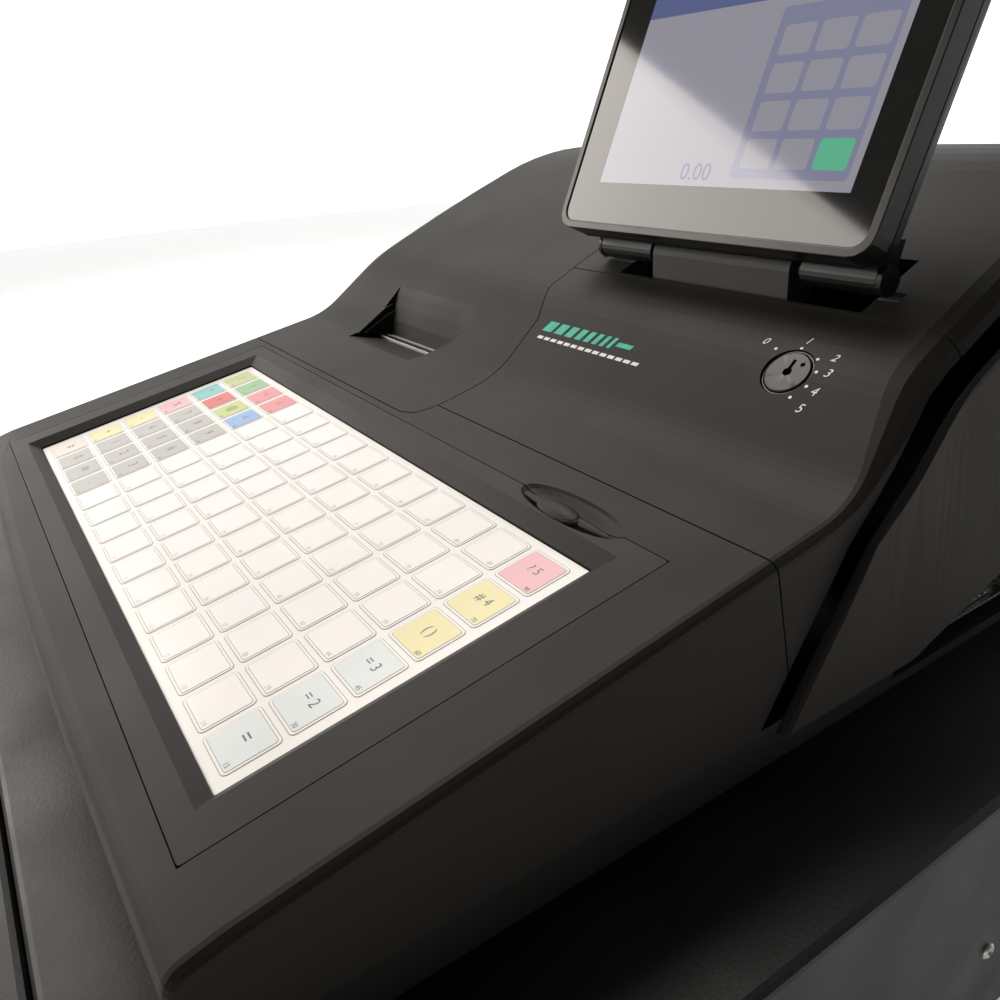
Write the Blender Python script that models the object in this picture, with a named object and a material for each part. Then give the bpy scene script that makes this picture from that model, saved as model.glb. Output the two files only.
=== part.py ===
"""An electronic cash register: a sloped register housing that stands on its steel cash drawer.

All sizes and places are in millimetres; the helper functions scale them to metres.
+X is the cashier's right, +Y points away from the cashier, +Z is up. The origin is at the middle of
the footprint, on the counter. The register's own pieces are placed from the register frame, an empty
at the front edge of the key sheet; the keyboard's pieces lie in the tilted keyboard plane.
"""

import math

import bmesh
import bpy
from mathutils import Matrix, Vector

MM = 0.001
GAP = 0.3  # clearance between neighbouring pieces

# Cash drawer
DRAWER_WIDTH = 410.0
DRAWER_DEPTH = 415.0
DRAWER_HEIGHT = 100.0
DRAWER_FOOT = 8.0
DRAWER_WALL = 1.6
DRAWER_TOP = DRAWER_FOOT + DRAWER_HEIGHT
FASCIA_THICK = 11.0
TRAY_HALF_WIDTH = 190.0
TILL_HALF_WIDTH = 184.0
TILL_TOP = 72.0
ROLLER_RADIUS = 8.0
CLIP_AXLE = (112.0, 66.0)  # Y and Z of the rod that carries the bill clips
CLIP_ARM = 80.0

# Register housing, from the register frame
REGISTER_FRAME = (0.0, -151.5, 154.5)
KEYBOARD_TILT = math.radians(9.4)
SHEET_WIDTH = 264.0
SHEET_DEPTH = 100.0
DECK_RISE = 3.1  # the deck's top above the key sheet
FRAME_HALF_WIDTH = 147.0
FRAME_FRONT = -10.5
FRAME_BACK = 112.0
DECK_SEAM = 127.0  # where the deck meets the main cover, along the keyboard plane
PRINTER_COVER_FRONT = 115.5
NOSE = -24.0
NOSE_BOW = 4.0
BACK = 333.0
BASE_SEAM = -22.0
BASE_BOTTOM = -35.0
WALL = 2.5
COVER_SEAM = 199.0  # where the main cover meets the rear cover
COVER_SPLIT = ((8.5, 100.0), (8.5, 131.0), (6.0, 150.0), (6.0, 174.0), (-2.8, 186.0), (-2.8, 345.0))  # X, Y of the printer cover's edge

# Display head
DISPLAY_TILT = math.radians(25.4)  # from upright, top backwards
DISPLAY_FOOT = (67.0, 191.0, 79.0)  # the middle of the front face's lower edge
DISPLAY_SIZE = (138.0, 96.0)
SCREEN_SIZE = (108.0, 65.0)
SCREEN_SHIFT = 2.0  # the screen sits right of the head's middle
SCREEN_FOOT = 17.5
TILT_AXIS = (207.0, 70.5)  # Y and Z of the tilt pin

# Mode lock
LOCK_X = 123.8
LOCK_Y = 176.8
LOCK_RADIUS = 7.7

# Printer
PAPER_MIDDLE = -78.5
PAPER_WIDTH = 57.5
PLATEN_AXIS = (165.5, 9.0)
IDLER_AXIS = (182.6, 0.2)
MOTOR_AXIS = (196.6, -7.8)
ROLL_AXIS = (246.0, 38.0)
ROLL_RADIUS = 36.0
LID_SWING = 208.8
COVER_HINGE = (318.0, 62.0)
FLANK_OUT = 4.5  # how far the rear housing's flanks stand proud of the covers
GROOVE = ((103.0, -45.0), (130.4, -7.7), (151.0, 19.5))  # the foot of the covers' lower edge, Y and Z
GROOVE_WIDTH = 6.2
GROOVE_DEPTH = 10.4  # from the top line down to the flanks' upper edge
CHUTE = (-109.0, -34.0)  # X range of the receipt chute
GEAR_MODULE = 0.8

PLASTIC = ("charcoal plastic", (0.030, 0.029, 0.027), 0.48, 0.0)
BLACK = ("black plastic", (0.010, 0.010, 0.010), 0.45, 0.0)
STEEL = ("zinc steel", (0.55, 0.56, 0.57), 0.35, 1.0)
PAINT = ("black painted steel", (0.018, 0.018, 0.018), 0.40, 0.0)
RUBBER = ("black rubber", (0.015, 0.015, 0.015), 0.85, 0.0)
SHEET = ("key sheet", (0.86, 0.85, 0.82), 0.35, 0.0)
CLEAR = ("clear sheet", (0.92, 0.94, 0.94), 0.12, 0.0)
GLASS = ("display glass", (0.02, 0.02, 0.022), 0.05, 0.0)
SCREEN = ("screen", (0.70, 0.74, 0.88), 0.2, 0.0)
BOARD = ("circuit board", (0.03, 0.16, 0.07), 0.4, 0.0)
WHITE = ("white plastic", (0.75, 0.74, 0.70), 0.4, 0.0)
PAPER = ("paper", (0.88, 0.87, 0.84), 0.8, 0.0)
GREY = ("grey plastic", (0.16, 0.16, 0.17), 0.5, 0.0)


# ---------------------------------------------------------------- helpers


def clear_scene():
    for old in list(bpy.data.objects):
        bpy.data.objects.remove(old)


def material_of(finish):
    name, colour, roughness, metallic = finish
    found = bpy.data.materials.get(name)
    if found:
        return found
    made = bpy.data.materials.new(name)
    made.use_nodes = True
    shader = made.node_tree.nodes["Principled BSDF"]
    shader.inputs["Base Color"].default_value = (*colour, 1.0)
    shader.inputs["Roughness"].default_value = roughness
    shader.inputs["Metallic"].default_value = metallic
    return made


def empty(name, place, turn=(0.0, 0.0, 0.0), parent=None):
    made = bpy.data.objects.new(name, None)
    bpy.context.scene.collection.objects.link(made)
    made.location = Vector(place) * MM
    made.rotation_euler = turn
    made.parent = parent
    bpy.context.view_layer.update()
    return made


def add_object(name, bm, finish, parent=None):
    """Makes an object from a bmesh in millimetres, in its parent's frame."""
    bmesh.ops.recalc_face_normals(bm, faces=bm.faces)
    bmesh.ops.scale(bm, vec=(MM, MM, MM), verts=bm.verts)
    mesh = bpy.data.meshes.new(name)
    bm.to_mesh(mesh)
    bm.free()
    made = bpy.data.objects.new(name, mesh)
    bpy.context.scene.collection.objects.link(made)
    mesh.materials.append(material_of(finish))
    made.parent = parent
    bpy.context.view_layer.update()
    return made


def box(name, low, high, finish=PLASTIC, parent=None, bevel=0.0, vertical_bevel=0.0):
    bm = bmesh.new()
    size = Vector(high) - Vector(low)
    middle = (Vector(high) + Vector(low)) / 2
    bmesh.ops.create_cube(bm, size=1.0, matrix=Matrix.Translation(middle) @ Matrix.Diagonal((*size, 1.0)))
    if vertical_bevel:
        upright = [e for e in bm.edges if abs(e.verts[0].co.z - e.verts[1].co.z) > 1e-6]
        bmesh.ops.bevel(bm, geom=upright, offset=vertical_bevel, segments=4, affect="EDGES", profile=0.5)
    if bevel:
        bmesh.ops.bevel(bm, geom=bm.edges[:], offset=bevel, segments=2, affect="EDGES", profile=0.5)
    return add_object(name, bm, finish, parent)


def prism(name, outline, low_x, high_x, finish=PLASTIC, parent=None):
    """A (Y, Z) outline extruded along X."""
    bm = bmesh.new()
    face = bm.faces.new([bm.verts.new((low_x, y, z)) for y, z in outline])
    grown = bmesh.ops.extrude_face_region(bm, geom=[face])
    moved = [g for g in grown["geom"] if isinstance(g, bmesh.types.BMVert)]
    bmesh.ops.translate(bm, vec=(high_x - low_x, 0.0, 0.0), verts=moved)
    return add_object(name, bm, finish, parent)


def slab(name, outline, low_z, high_z, finish=PLASTIC, parent=None):
    """An (X, Y) outline extruded along Z."""
    bm = bmesh.new()
    face = bm.faces.new([bm.verts.new((x, y, low_z)) for x, y in outline])
    grown = bmesh.ops.extrude_face_region(bm, geom=[face])
    moved = [g for g in grown["geom"] if isinstance(g, bmesh.types.BMVert)]
    bmesh.ops.translate(bm, vec=(0.0, 0.0, high_z - low_z), verts=moved)
    return add_object(name, bm, finish, parent)


AXIS_TURNS = {
    "X": Matrix.Rotation(math.pi / 2, 4, "Y"),
    "Y": Matrix.Rotation(-math.pi / 2, 4, "X"),
    "Z": Matrix.Identity(4),
}


def turned(name, profile, middle, axis="X", finish=PLASTIC, parent=None, sides=24):
    """A closed turned solid. profile lists (radius, distance along the axis); the ends lie on the axis
    when their radius is 0, and otherwise the profile is closed into a ring."""
    bm = bmesh.new()
    ring = profile[0][0] > 0
    rows = []
    for radius, along in profile:
        if radius == 0:
            rows.append([bm.verts.new((0.0, 0.0, along))])
            continue
        angles = [2 * math.pi * k / sides for k in range(sides)]
        rows.append([bm.verts.new((radius * math.cos(a), radius * math.sin(a), along)) for a in angles])
    pairs = list(zip(rows, rows[1:]))
    if ring:
        pairs.append((rows[-1], rows[0]))
    for first, second in pairs:
        for k in range(sides):
            n = (k + 1) % sides
            a = [first[k], first[n]] if len(first) > 1 else [first[0]]
            b = [second[n], second[k]] if len(second) > 1 else [second[0]]
            if len(a) + len(b) > 2:
                bm.faces.new(a + b)
    bmesh.ops.transform(bm, matrix=AXIS_TURNS[axis], verts=bm.verts)
    made = add_object(name, bm, finish, parent)
    made.location = Vector(middle) * MM
    bpy.context.view_layer.update()
    made.data.shade_smooth()
    made.data.set_sharp_from_angle(angle=math.radians(35))
    return made


def rod(name, radius, start, length, axis="X", finish=STEEL, parent=None, sides=24):
    return turned(name, [(0, 0), (radius, 0), (radius, length), (0, length)], start, axis, finish, parent, sides)


def bake(obj):
    """Replaces the object's mesh by what its modifiers make of it."""
    bpy.context.view_layer.update()
    finish = obj.data.materials[0]
    graph = bpy.context.evaluated_depsgraph_get()
    mesh = bpy.data.meshes.new_from_object(obj.evaluated_get(graph))
    obj.modifiers.clear()
    obj.data = mesh
    mesh.materials.clear()
    mesh.materials.append(finish)


def combine(obj, operation, tools, keep=False):
    for tool in tools:
        modifier = obj.modifiers.new(operation, "BOOLEAN")
        modifier.operation = operation
        modifier.solver = "EXACT"
        modifier.object = tool
        bake(obj)
        if not keep:
            bpy.data.objects.remove(tool)
    return obj


def cut(obj, *tools):
    return combine(obj, "DIFFERENCE", tools)


def join(obj, *tools):
    return combine(obj, "UNION", tools)


def copy_of(obj, name):
    made = obj.copy()
    made.data = obj.data.copy()
    made.name = name
    bpy.context.scene.collection.objects.link(made)
    bpy.context.view_layer.update()
    return made


def smooth(obj, angle=28.0):
    obj.data.shade_smooth()
    obj.data.set_sharp_from_angle(angle=math.radians(angle))
    return obj


def round_edges(obj, width, segments=2, angle=40.0):
    """Rounds the sharp edges with a Bevel modifier; width is in millimetres."""
    modifier = obj.modifiers.new("round", "BEVEL")
    modifier.width = width * MM
    modifier.segments = segments
    modifier.limit_method = "ANGLE"
    modifier.angle_limit = math.radians(angle)
    modifier.use_clamp_overlap = True
    bake(obj)
    return smooth(obj)


def set_origin(obj, point):
    """Moves the object's origin to a point of its parent's frame, leaving its shape in place."""
    shift = Vector(point) * MM - obj.location
    obj.data.transform(Matrix.Translation(-shift))
    obj.location = obj.location + shift
    bpy.context.view_layer.update()
    return obj


def hang_on(obj, pivot):
    """Parents the object to an empty on its joint's axis, leaving it where it is."""
    bpy.context.view_layer.update()
    world = obj.matrix_world.copy()
    obj.parent = pivot
    obj.matrix_parent_inverse = pivot.matrix_world.inverted()
    obj.matrix_world = world
    bpy.context.view_layer.update()
    return obj


# ---------------------------------------------------------------- housing surface


class Path:
    """A side-view path of straight runs and arcs, with its heading at each point."""

    def __init__(self, y, z, heading):
        self.points = [(y, z, heading)]

    def line(self, length):
        y, z, h = self.points[-1]
        self.points.append((y + length * math.cos(h), z + length * math.sin(h), h))
        return self

    def arc(self, radius, end_degrees, steps):
        y, z, h = self.points[-1]
        end = math.radians(end_degrees)
        side = 1.0 if end > h else -1.0
        centre = (y - side * radius * math.sin(h), z + side * radius * math.cos(h))
        for k in range(1, steps + 1):
            a = h + (end - h) * k / steps
            self.points.append(
                (centre[0] + side * radius * math.sin(a), centre[1] - side * radius * math.cos(a), a)
            )
        return self


def deck_height(y):
    return DECK_RISE / math.cos(KEYBOARD_TILT) + y * math.tan(KEYBOARD_TILT)


def top_path():
    """The housing's top line from the foot of the nose, over deck, slope and dome, to the foot of the back."""
    nose_radius = 6.0
    tilt = math.degrees(KEYBOARD_TILT)
    deck_start = NOSE + nose_radius * (1 - math.sin(KEYBOARD_TILT))
    arc_foot = deck_height(deck_start) - nose_radius * math.cos(KEYBOARD_TILT)
    path = Path(NOSE, BASE_SEAM, math.pi / 2)
    path.line(arc_foot - BASE_SEAM)
    path.arc(nose_radius, tilt, 5)
    path.line((-8.0 - path.points[-1][0]) / math.cos(KEYBOARD_TILT))
    path.line((143.0 + 8.0) / math.cos(KEYBOARD_TILT))
    path.arc(36.0, 41.0, 7)
    path.line(20.0)
    path.arc(60.0, 24.0, 4)
    path.line(8.0)
    path.arc(1100.0, 20.0, 3)
    path.arc(130.0, 0.0, 5)
    y = path.points[-1][0]
    back_radius = 14.0
    path.line(BACK - back_radius - y)
    path.arc(back_radius, -90.0, 6)
    path.line(path.points[-1][1] - BASE_SEAM)
    return path.points


def surface_at(depth):
    """The top line's height and heading at a depth."""
    path = top_path()
    for (y0, z0, h0), (y1, z1, h1) in zip(path, path[1:]):
        if y0 <= depth <= y1:
            share = (depth - y0) / (y1 - y0)
            return z0 + share * (z1 - z0), math.atan2(z1 - z0, y1 - y0)
    raise ValueError("no such depth")


def half_width(z):
    """The housing narrows gently up the deck's sides and faster up the dome."""
    if z < 24.0:
        return 169.0 - 0.035 * (z - BASE_SEAM)
    return 167.4 - 0.135 * (z - 24.0)


def edge_radius(z):
    share = min(1.0, max(0.0, (z - 27.0) / 30.0))
    return 3.0 + 8.0 * share * share * (3 - 2 * share)


def bow(x, y):
    """The nose is bowed forwards in plan."""
    weight = min(1.0, max(0.0, (-9.0 - y) / 8.0))
    return NOSE_BOW * weight * (min(abs(x), 160.0) / 160.0) ** 2


def housing_block(name, inset, outset):
    """The closed form of the register housing, moved inwards by inset, with flanks wider by outset."""
    bm = bmesh.new()
    flat_columns, fillet_steps = 8, 4
    base = BASE_SEAM - (5.0 if inset > 0 else 0.0)
    rows = []
    for y, z, heading in top_path():
        normal = Vector((0.0, -math.sin(heading), math.cos(heading)))
        width = half_width(z) - inset + outset
        radius = max(edge_radius(z) - inset, 0.6)
        flat = width - radius
        across = [(-flat + 2 * flat * k / flat_columns, 0.0) for k in range(flat_columns + 1)]
        angles = [math.pi / 2 * k / fillet_steps for k in range(1, fillet_steps + 1)]
        right = [(flat + radius * math.sin(a), radius * (1 - math.cos(a))) for a in angles]
        left = [(-x, drop) for x, drop in reversed(right)]
        row = []
        for x, drop in left + across + right:
            place = Vector((x, y, z)) - normal * (drop + inset)
            place.y += bow(x, y)
            row.append(bm.verts.new(place))
        rows.append(row)
    for row in (rows[0], rows[-1]):
        for vert in row:
            vert.co.z = base
    for front, back in zip(rows, rows[1:]):
        for k in range(len(front) - 1):
            bm.faces.new((front[k], front[k + 1], back[k + 1], back[k]))
    for end, sign in ((0, -1.0), (-1, 1.0)):  # the flanks run straight down to the base seam
        width = half_width(BASE_SEAM) - inset + outset
        feet = [rows[0][end]]
        feet += [bm.verts.new((sign * width, row[end].co.y, base)) for row in rows[1:-1]]
        feet += [rows[-1][end]]
        for k in range(len(rows) - 1):
            corners = [rows[k][end], rows[k + 1][end], feet[k + 1], feet[k]]
            bm.faces.new([v for i, v in enumerate(corners) if v not in corners[:i]])
        if end == 0:
            left_feet = feet
        else:
            right_feet = feet
    bm.faces.new(left_feet + rows[-1][1:-1] + right_feet[::-1] + rows[0][1:-1][::-1])
    bmesh.ops.remove_doubles(bm, verts=bm.verts, dist=0.001)
    bmesh.ops.triangulate(bm, faces=[f for f in bm.faces if len(f.verts) > 4])
    return add_object(name, bm, PLASTIC, register)


def offset_top(offset, low_y, high_y):
    """Points of the top line moved down by offset, between two depths."""
    moved = [(y + offset * math.sin(h), z - offset * math.cos(h)) for y, z, h in top_path()]
    return [(y, z) for y, z in moved if low_y < y < high_y]


def groove_side(offset, shift):
    """One side of the shadow groove: up the leaning side seam, then back just under the dome's edge."""
    line = [(y + shift, z) for y, z in GROOVE]
    band = []
    for y in (163.9, 174.3, 181.9, 191.7, 215.3, 240.1, 263.7, 284.5, 299.3, 316.1):
        z, slope = surface_at(y)
        band.append((y + shift + offset * math.sin(slope), z - offset * math.cos(slope)))
    return line + band + [(BACK + 20.0, band[-1][1])]


def upper_region(name, low_x, high_x):
    """Everything above and in front of the groove."""
    outline = groove_side(5.5, 0.0)
    outline += [(BACK + 20.0, 150.0), (-60.0, 150.0), (-60.0, GROOVE[0][1])]
    return prism(name, outline, low_x, high_x, parent=register)


def lower_region(name):
    """Everything below and behind the groove, falling away outwards so that the flanks have a soft front edge."""
    softness = ((30.0, 0.0), (FLANK_OUT + 0.1, 0.0), (FLANK_OUT - 0.8, 1.8), (2.4, 3.1), (1.9, 3.3), (1.3, 0.0))
    bm = bmesh.new()
    loops = []
    for side in (-1, 1):
        for reach, fall in softness if side < 0 else softness[::-1]:
            outline = groove_side(GROOVE_DEPTH - fall, GROOVE_WIDTH - 0.75 * fall) + [(BACK + 20.0, GROOVE[0][1])]
            flat = reach > 20.0
            loops.append([bm.verts.new((side * (200.0 if flat else half_width(z) + reach), y, z)) for y, z in outline])
    for lower, upper in zip(loops, loops[1:]):
        for k in range(len(lower)):
            m = (k + 1) % len(lower)
            bm.faces.new((lower[k], lower[m], upper[m]))
            bm.faces.new((lower[k], upper[m], upper[k]))
    bm.faces.new(loops[0])
    bm.faces.new(loops[-1])
    return add_object(name, bm, PLASTIC, register)


def split_region(name, side, margin):
    """The plan region right (side 1) or left (side -1) of the printer cover's edge."""
    edge = [(x + side * margin, y) for x, y in COVER_SPLIT]
    far = 200.0 * side
    return slab(name, edge + [(far, COVER_SPLIT[-1][1]), (far, COVER_SPLIT[0][1])], -60.0, 140.0, parent=register)


def keyboard_box(name, low, high):
    """A helper box in the keyboard plane."""
    return box(name, low, high, parent=keyboard)


# ---------------------------------------------------------------- register housing


def make_covers():
    rear_housing = housing_block("rear_housing", 0.0, FLANK_OUT)
    combine(rear_housing, "INTERSECT", [lower_region("low")])
    cut(rear_housing, housing_block("inside", WALL, FLANK_OUT))
    port_outline = [(176.0, BASE_SEAM - 9.0), (176.0, BASE_SEAM), (200.0, -15.0), (222.0, -9.0), (240.0, -5.0),
                    (318.0, -5.0), (318.0, BASE_SEAM - 9.0)]
    cut(rear_housing, prism("port_cut", port_outline, 140.0, 190.0, parent=register))
    smooth(rear_housing)

    upper = cut(housing_block("upper", 0.0, 0.0), housing_block("inside", WALL, 0.0))
    combine(upper, "INTERSECT", [upper_region("up", -200.0, 200.0)])

    deck = copy_of(upper, "deck_cover")
    combine(deck, "INTERSECT", [keyboard_box("front", (-200, -80, -90), (200, DECK_SEAM - 0.25, 60))])
    cut(deck, keyboard_box("opening", (-FRAME_HALF_WIDTH - GAP, FRAME_FRONT - GAP, -20),
                           (FRAME_HALF_WIDTH + GAP, FRAME_BACK + GAP, 20)))
    edge = COVER_SPLIT[0][0] + 0.25
    front = PRINTER_COVER_FRONT - 0.25
    strip = [(-200, 150), (edge, 150), (edge, front + 9), (edge - 2.6, front + 2.6), (edge - 9, front),
             (-200, front)]
    corner = slab("corner", strip, -90, 60, parent=keyboard)
    cut(corner, prism("swing_keep", lid_swing(-0.25), -200.0, -160.0, parent=register))
    cut(deck, corner)
    join(deck, keyboard_box("scoop_floor", (82, FRAME_BACK + 0.4, -1.6), (135, 119.5, 1.5)))
    cut(deck, finger_scoop())
    smooth(deck)

    main = copy_of(upper, "main_cover")
    combine(main, "INTERSECT", [split_region("right", 1, 0.25)])
    rear = copy_of(main, "rear_cover")
    cut(main, keyboard_box("front", (-200, -80, -90), (200, DECK_SEAM + 0.25, 60)))
    cut(main, box("behind", (-200, COVER_SEAM - 0.25, -60), (200, 400, 140), parent=register))
    cut(main, lock_hole())
    smooth(main)

    cut(rear, box("ahead", (-200, -100, -60), (200, COVER_SEAM + 0.25, 140), parent=register))
    cut(rear, box("pocket", (24, COVER_SEAM + 1.6, 40), (129, 226, 140), parent=register))
    cut(rear, rod("pin_relief", 5.6, (6, *TILT_AXIS), 130, parent=register))
    smooth(rear)

    printer = copy_of(upper, "printer_cover")
    combine(printer, "INTERSECT", [split_region("left", -1, 0.25)])
    edge, front = COVER_SPLIT[0][0] - 0.25, PRINTER_COVER_FRONT + 0.25
    lid = [(-200, 400), (edge + 5.2, 400), (edge + 5.2, front + 21.8), (edge - 2.6, front + 2.6),
           (edge - 9, front), (-200, front)]
    combine(printer, "INTERSECT", [slab("lid", lid, -90, 140, parent=keyboard)])
    cut(printer, prism("swing_clear", lid_swing(0.25), -200.0, -160.0, parent=register))
    add_receipt_chute(printer)
    cut(printer, roll_panel_step())
    smooth(printer)
    hinge = empty("printer_cover_axis", (PAPER_MIDDLE, *COVER_HINGE), parent=register)
    hang_on(printer, hinge)
    bpy.data.objects.remove(upper)


def lid_swing(offset):
    """The flank in front of the circle that the lid's lower corner swings on, so the lid clears the deck."""
    hinge_y, hinge_z = COVER_HINGE
    outline = [(80.0, 15.0)]
    for z in (15.0, 8.0, 0.0, -8.0, -16.0, -24.0, -32.0):
        outline.append((hinge_y - math.sqrt(LID_SWING ** 2 - (hinge_z - z) ** 2) + offset, z))
    return outline + [(80.0, -32.0)]


def finger_scoop():
    """The shallow scoop behind the key frame's lifting tab."""
    bm = bmesh.new()
    place = Matrix.Translation((108.5, 112.0, DECK_RISE + 1.2)) @ Matrix.Diagonal((23.5, 6.3, 4.2, 1.0))
    bmesh.ops.create_uvsphere(bm, u_segments=24, v_segments=12, radius=1.0, matrix=place)
    return add_object("scoop", bm, PLASTIC, keyboard)


def lock_hole():
    made = rod("lock_hole", LOCK_RADIUS + GAP, (0, 0, -30), 60, "Z", sides=32)
    made.parent = lock
    return made


def add_receipt_chute(cover):
    """A niche in the cover's slope with the paper slit at its foot; it runs out flush at its right end."""
    low, high = CHUTE
    block = [(140.0, 24.0), (160.0, 19.5), (168.5, 19.5), (178.0, 44.0), (176.5, 46.4), (167.0, 38.0),
             (155.0, 29.2), (146.0, 25.4)]
    join(cover, prism("chute_block", block, low - 2.2, high + 2.2, parent=register))
    niche = [(141.5, 26.6), (161.4, 22.7), (164.5, 31.0), (167.5, 37.2), (170.5, 42.6), (174.0, 47.2),
             (174.0, 60.0), (141.5, 60.0)]
    faded = [(y, max(z, surface_at(y)[0] + 0.4)) for y, z in niche]
    bm = bmesh.new()
    loops = [[bm.verts.new((x, y, z)) for y, z in outline]
             for x, outline in ((low, niche), (high - 13.0, niche), (high + 0.5, faded))]
    for lower, upper in zip(loops, loops[1:]):
        for k in range(len(niche)):
            m = (k + 1) % len(niche)
            bm.faces.new((lower[k], lower[m], upper[m]))
            bm.faces.new((lower[k], upper[m], upper[k]))
    bm.faces.new(loops[0])
    bm.faces.new(loops[-1])
    cut(cover, add_object("chute_niche", bm, PLASTIC, register))
    slit = [(156.6, 10.0), (161.2, 10.0), (161.2, 30.0), (156.6, 30.0)]
    cut(cover, prism("chute_slit", slit, PAPER_MIDDLE - 30.5, PAPER_MIDDLE + 30.5, parent=register))


def roll_panel_step():
    """The shallow panel over the paper roll: deepest at its front right corner, fading to the left and back."""
    panel = box("panel", (-110.0, 0.0, 0.0), (-46.0, 78.0, 20.0), parent=register)
    panel.location = Vector((0.0, 202.5, 62.6)) * MM
    panel.rotation_euler = (math.radians(22.8), math.radians(1.4), 0.0)
    bpy.context.view_layer.update()
    return panel


def make_base():
    """The lower tray of the register, with the walls that close the groove from behind."""
    base = box("base_pan", (-168, NOSE + 5, BASE_BOTTOM), (168, BACK - 2, BASE_SEAM - GAP), parent=register,
               vertical_bevel=7.0)
    cut(base, box("inside", (-165, NOSE + 8, BASE_BOTTOM + 2.5), (165, BACK - 5, 0), parent=register))
    wall_top = offset_top(7.0, 121.0, BACK - 15.0)
    outline = [(119.0, BASE_BOTTOM + 1), (119.0, deck_height(119.0) - 7.0)] + wall_top
    outline += [(BACK - 15.0, wall_top[-1][1]), (BACK - 15.0, BASE_BOTTOM + 1)]
    left = prism("left_wall", outline, -153.0, -151.0, parent=register)
    right = prism("right_wall", outline, 148.5, 150.5, parent=register)
    join(base, left, right)
    for x in (-140.0, 140.0):
        for y in (0.0, 112.0):
            post = rod("post", 4.0, (x, y, BASE_BOTTOM + 1), 26, "Z", PLASTIC, register, 12)
            join(base, post)
    cut(base, box("port_bay", (163, 176.5, BASE_BOTTOM + 3.3), (180, 317.5, 10), parent=register))
    foot_height = BASE_BOTTOM + 1.0 - (DRAWER_TOP + GAP - REGISTER_FRAME[2])
    for x in (-140.0, 140.0):
        for y in (8.0, 300.0):
            foot = rod("foot", 9.0, (x, y, DRAWER_TOP + GAP - REGISTER_FRAME[2]), foot_height, "Z", RUBBER, register, 20)
            join(base, foot)
    smooth(base)


def make_ports():
    """The recessed row of sockets at the right rear, and the mains inlet in the back."""
    panel = box("port_panel", (158.0, 178.0, BASE_BOTTOM + 3.0), (161.0, 316.0, -1.0), BLACK, register)
    sockets = {
        "serial_port_front": ((161.3, 205.0, -28.0), (165.5, 236.0, -16.0)),
        "serial_port_rear": ((161.3, 242.0, -28.0), (165.5, 273.0, -16.0)),
    }
    for name, (low, high) in sockets.items():
        made = box(name, low, high, STEEL, register, bevel=0.6)
        inner_low = (low[0] + 1.2, low[1] + 1.6, low[2] + 1.6)
        inner_high = (high[0] + 2, high[1] - 1.6, high[2] - 1.6)
        cut(made, box("socket", inner_low, inner_high, parent=register))
    inlet = box("mains_inlet", (100, BACK - 14, -16), (128, BACK + 1, 8), BLACK, register, bevel=1.0)
    cut(inlet, box("mouth", (104, BACK - 9, -12), (124, BACK + 5, 4), parent=register))
    housing = bpy.data.objects["rear_housing"]
    cut(housing, box("inlet_hole", (99.7, BACK - 6, -16.3), (128.3, BACK + 5, 8.3), parent=register))
    smooth(housing)
    return panel


def make_internals():
    box("main_board", (-20, 18, -28), (130, 168, -26.4), BOARD, register)
    box("power_supply", (8, 240, -31), (96, 318, 24), STEEL, register, bevel=1.0)
    turned("speaker", [(0, 0), (20, 0), (20, 4), (10, 9), (0, 9)], (-110, 60, -32.2), "Z", BLACK, register)


# ---------------------------------------------------------------- keyboard


def make_keyboard():
    half = SHEET_WIDTH / 2
    frame = box("key_frame", (-FRAME_HALF_WIDTH, FRAME_FRONT, -1.8), (FRAME_HALF_WIDTH, FRAME_BACK, DECK_RISE),
                PLASTIC, keyboard, vertical_bevel=0.8)
    bm = bmesh.new()
    loops = []
    for x, y0, y1, n in ((half, 0, SHEET_DEPTH, -4), (half, 0, SHEET_DEPTH, 0.5),
                         (half + 4, -4, SHEET_DEPTH + 5.5, DECK_RISE), (half + 4, -4, SHEET_DEPTH + 5.5, 8)):
        loops.append([bm.verts.new(p) for p in ((-x, y0, n), (x, y0, n), (x, y1, n), (-x, y1, n))])
    for lower, upper in zip(loops, loops[1:]):
        for k in range(4):
            m = (k + 1) % 4
            bm.faces.new((lower[k], lower[m], upper[m], upper[k]))
    bm.faces.new(loops[0])
    bm.faces.new(loops[-1])
    cut(frame, add_object("frame_window", bm, PLASTIC, keyboard))
    cut(frame, finger_scoop())
    tab = bmesh.new()
    place = Matrix.Translation((106.5, 109.4, 2.7)) @ Matrix.Diagonal((9.6, 3.4, 1.9, 1.0))
    bmesh.ops.create_uvsphere(tab, u_segments=20, v_segments=10, radius=1.0, matrix=place)
    ridge = bmesh.new()
    place = Matrix.Translation((107.8, 110.1, 2.3)) @ Matrix.Diagonal((20.5, 1.75, 1.25, 1.0))
    bmesh.ops.create_uvsphere(ridge, u_segments=18, v_segments=8, radius=1.0, matrix=place)
    join(frame, add_object("tab", tab, PLASTIC, keyboard))
    join(frame, add_object("ridge", ridge, PLASTIC, keyboard))
    cut(frame, keyboard_box("under", (-200, -60, -8), (200, 160, -1.8)))
    smooth(frame)
    hang_on(frame, empty("key_frame_axis", (0, FRAME_FRONT, DECK_RISE), parent=keyboard))

    box("clear_sheet", (-half + 0.3, 0.3, -0.4), (half - 0.3, SHEET_DEPTH - 0.3, 0.0), CLEAR, keyboard)
    box("key_sheet", (-half + 0.3, 0.3, -1.0), (half - 0.3, SHEET_DEPTH - 0.3, -0.7), SHEET, keyboard)
    box("membrane_switches", (-half + 0.3, 0.3, -1.9), (half - 0.3, SHEET_DEPTH - 0.3, -1.3), GREY, keyboard)
    plate = box("keyboard_plate", (-FRAME_HALF_WIDTH - 6, FRAME_FRONT - 3, -3.6),
                (FRAME_HALF_WIDTH + 6, FRAME_BACK + 1, -2.2), STEEL, keyboard)
    return plate


# ---------------------------------------------------------------- mode lock


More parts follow.
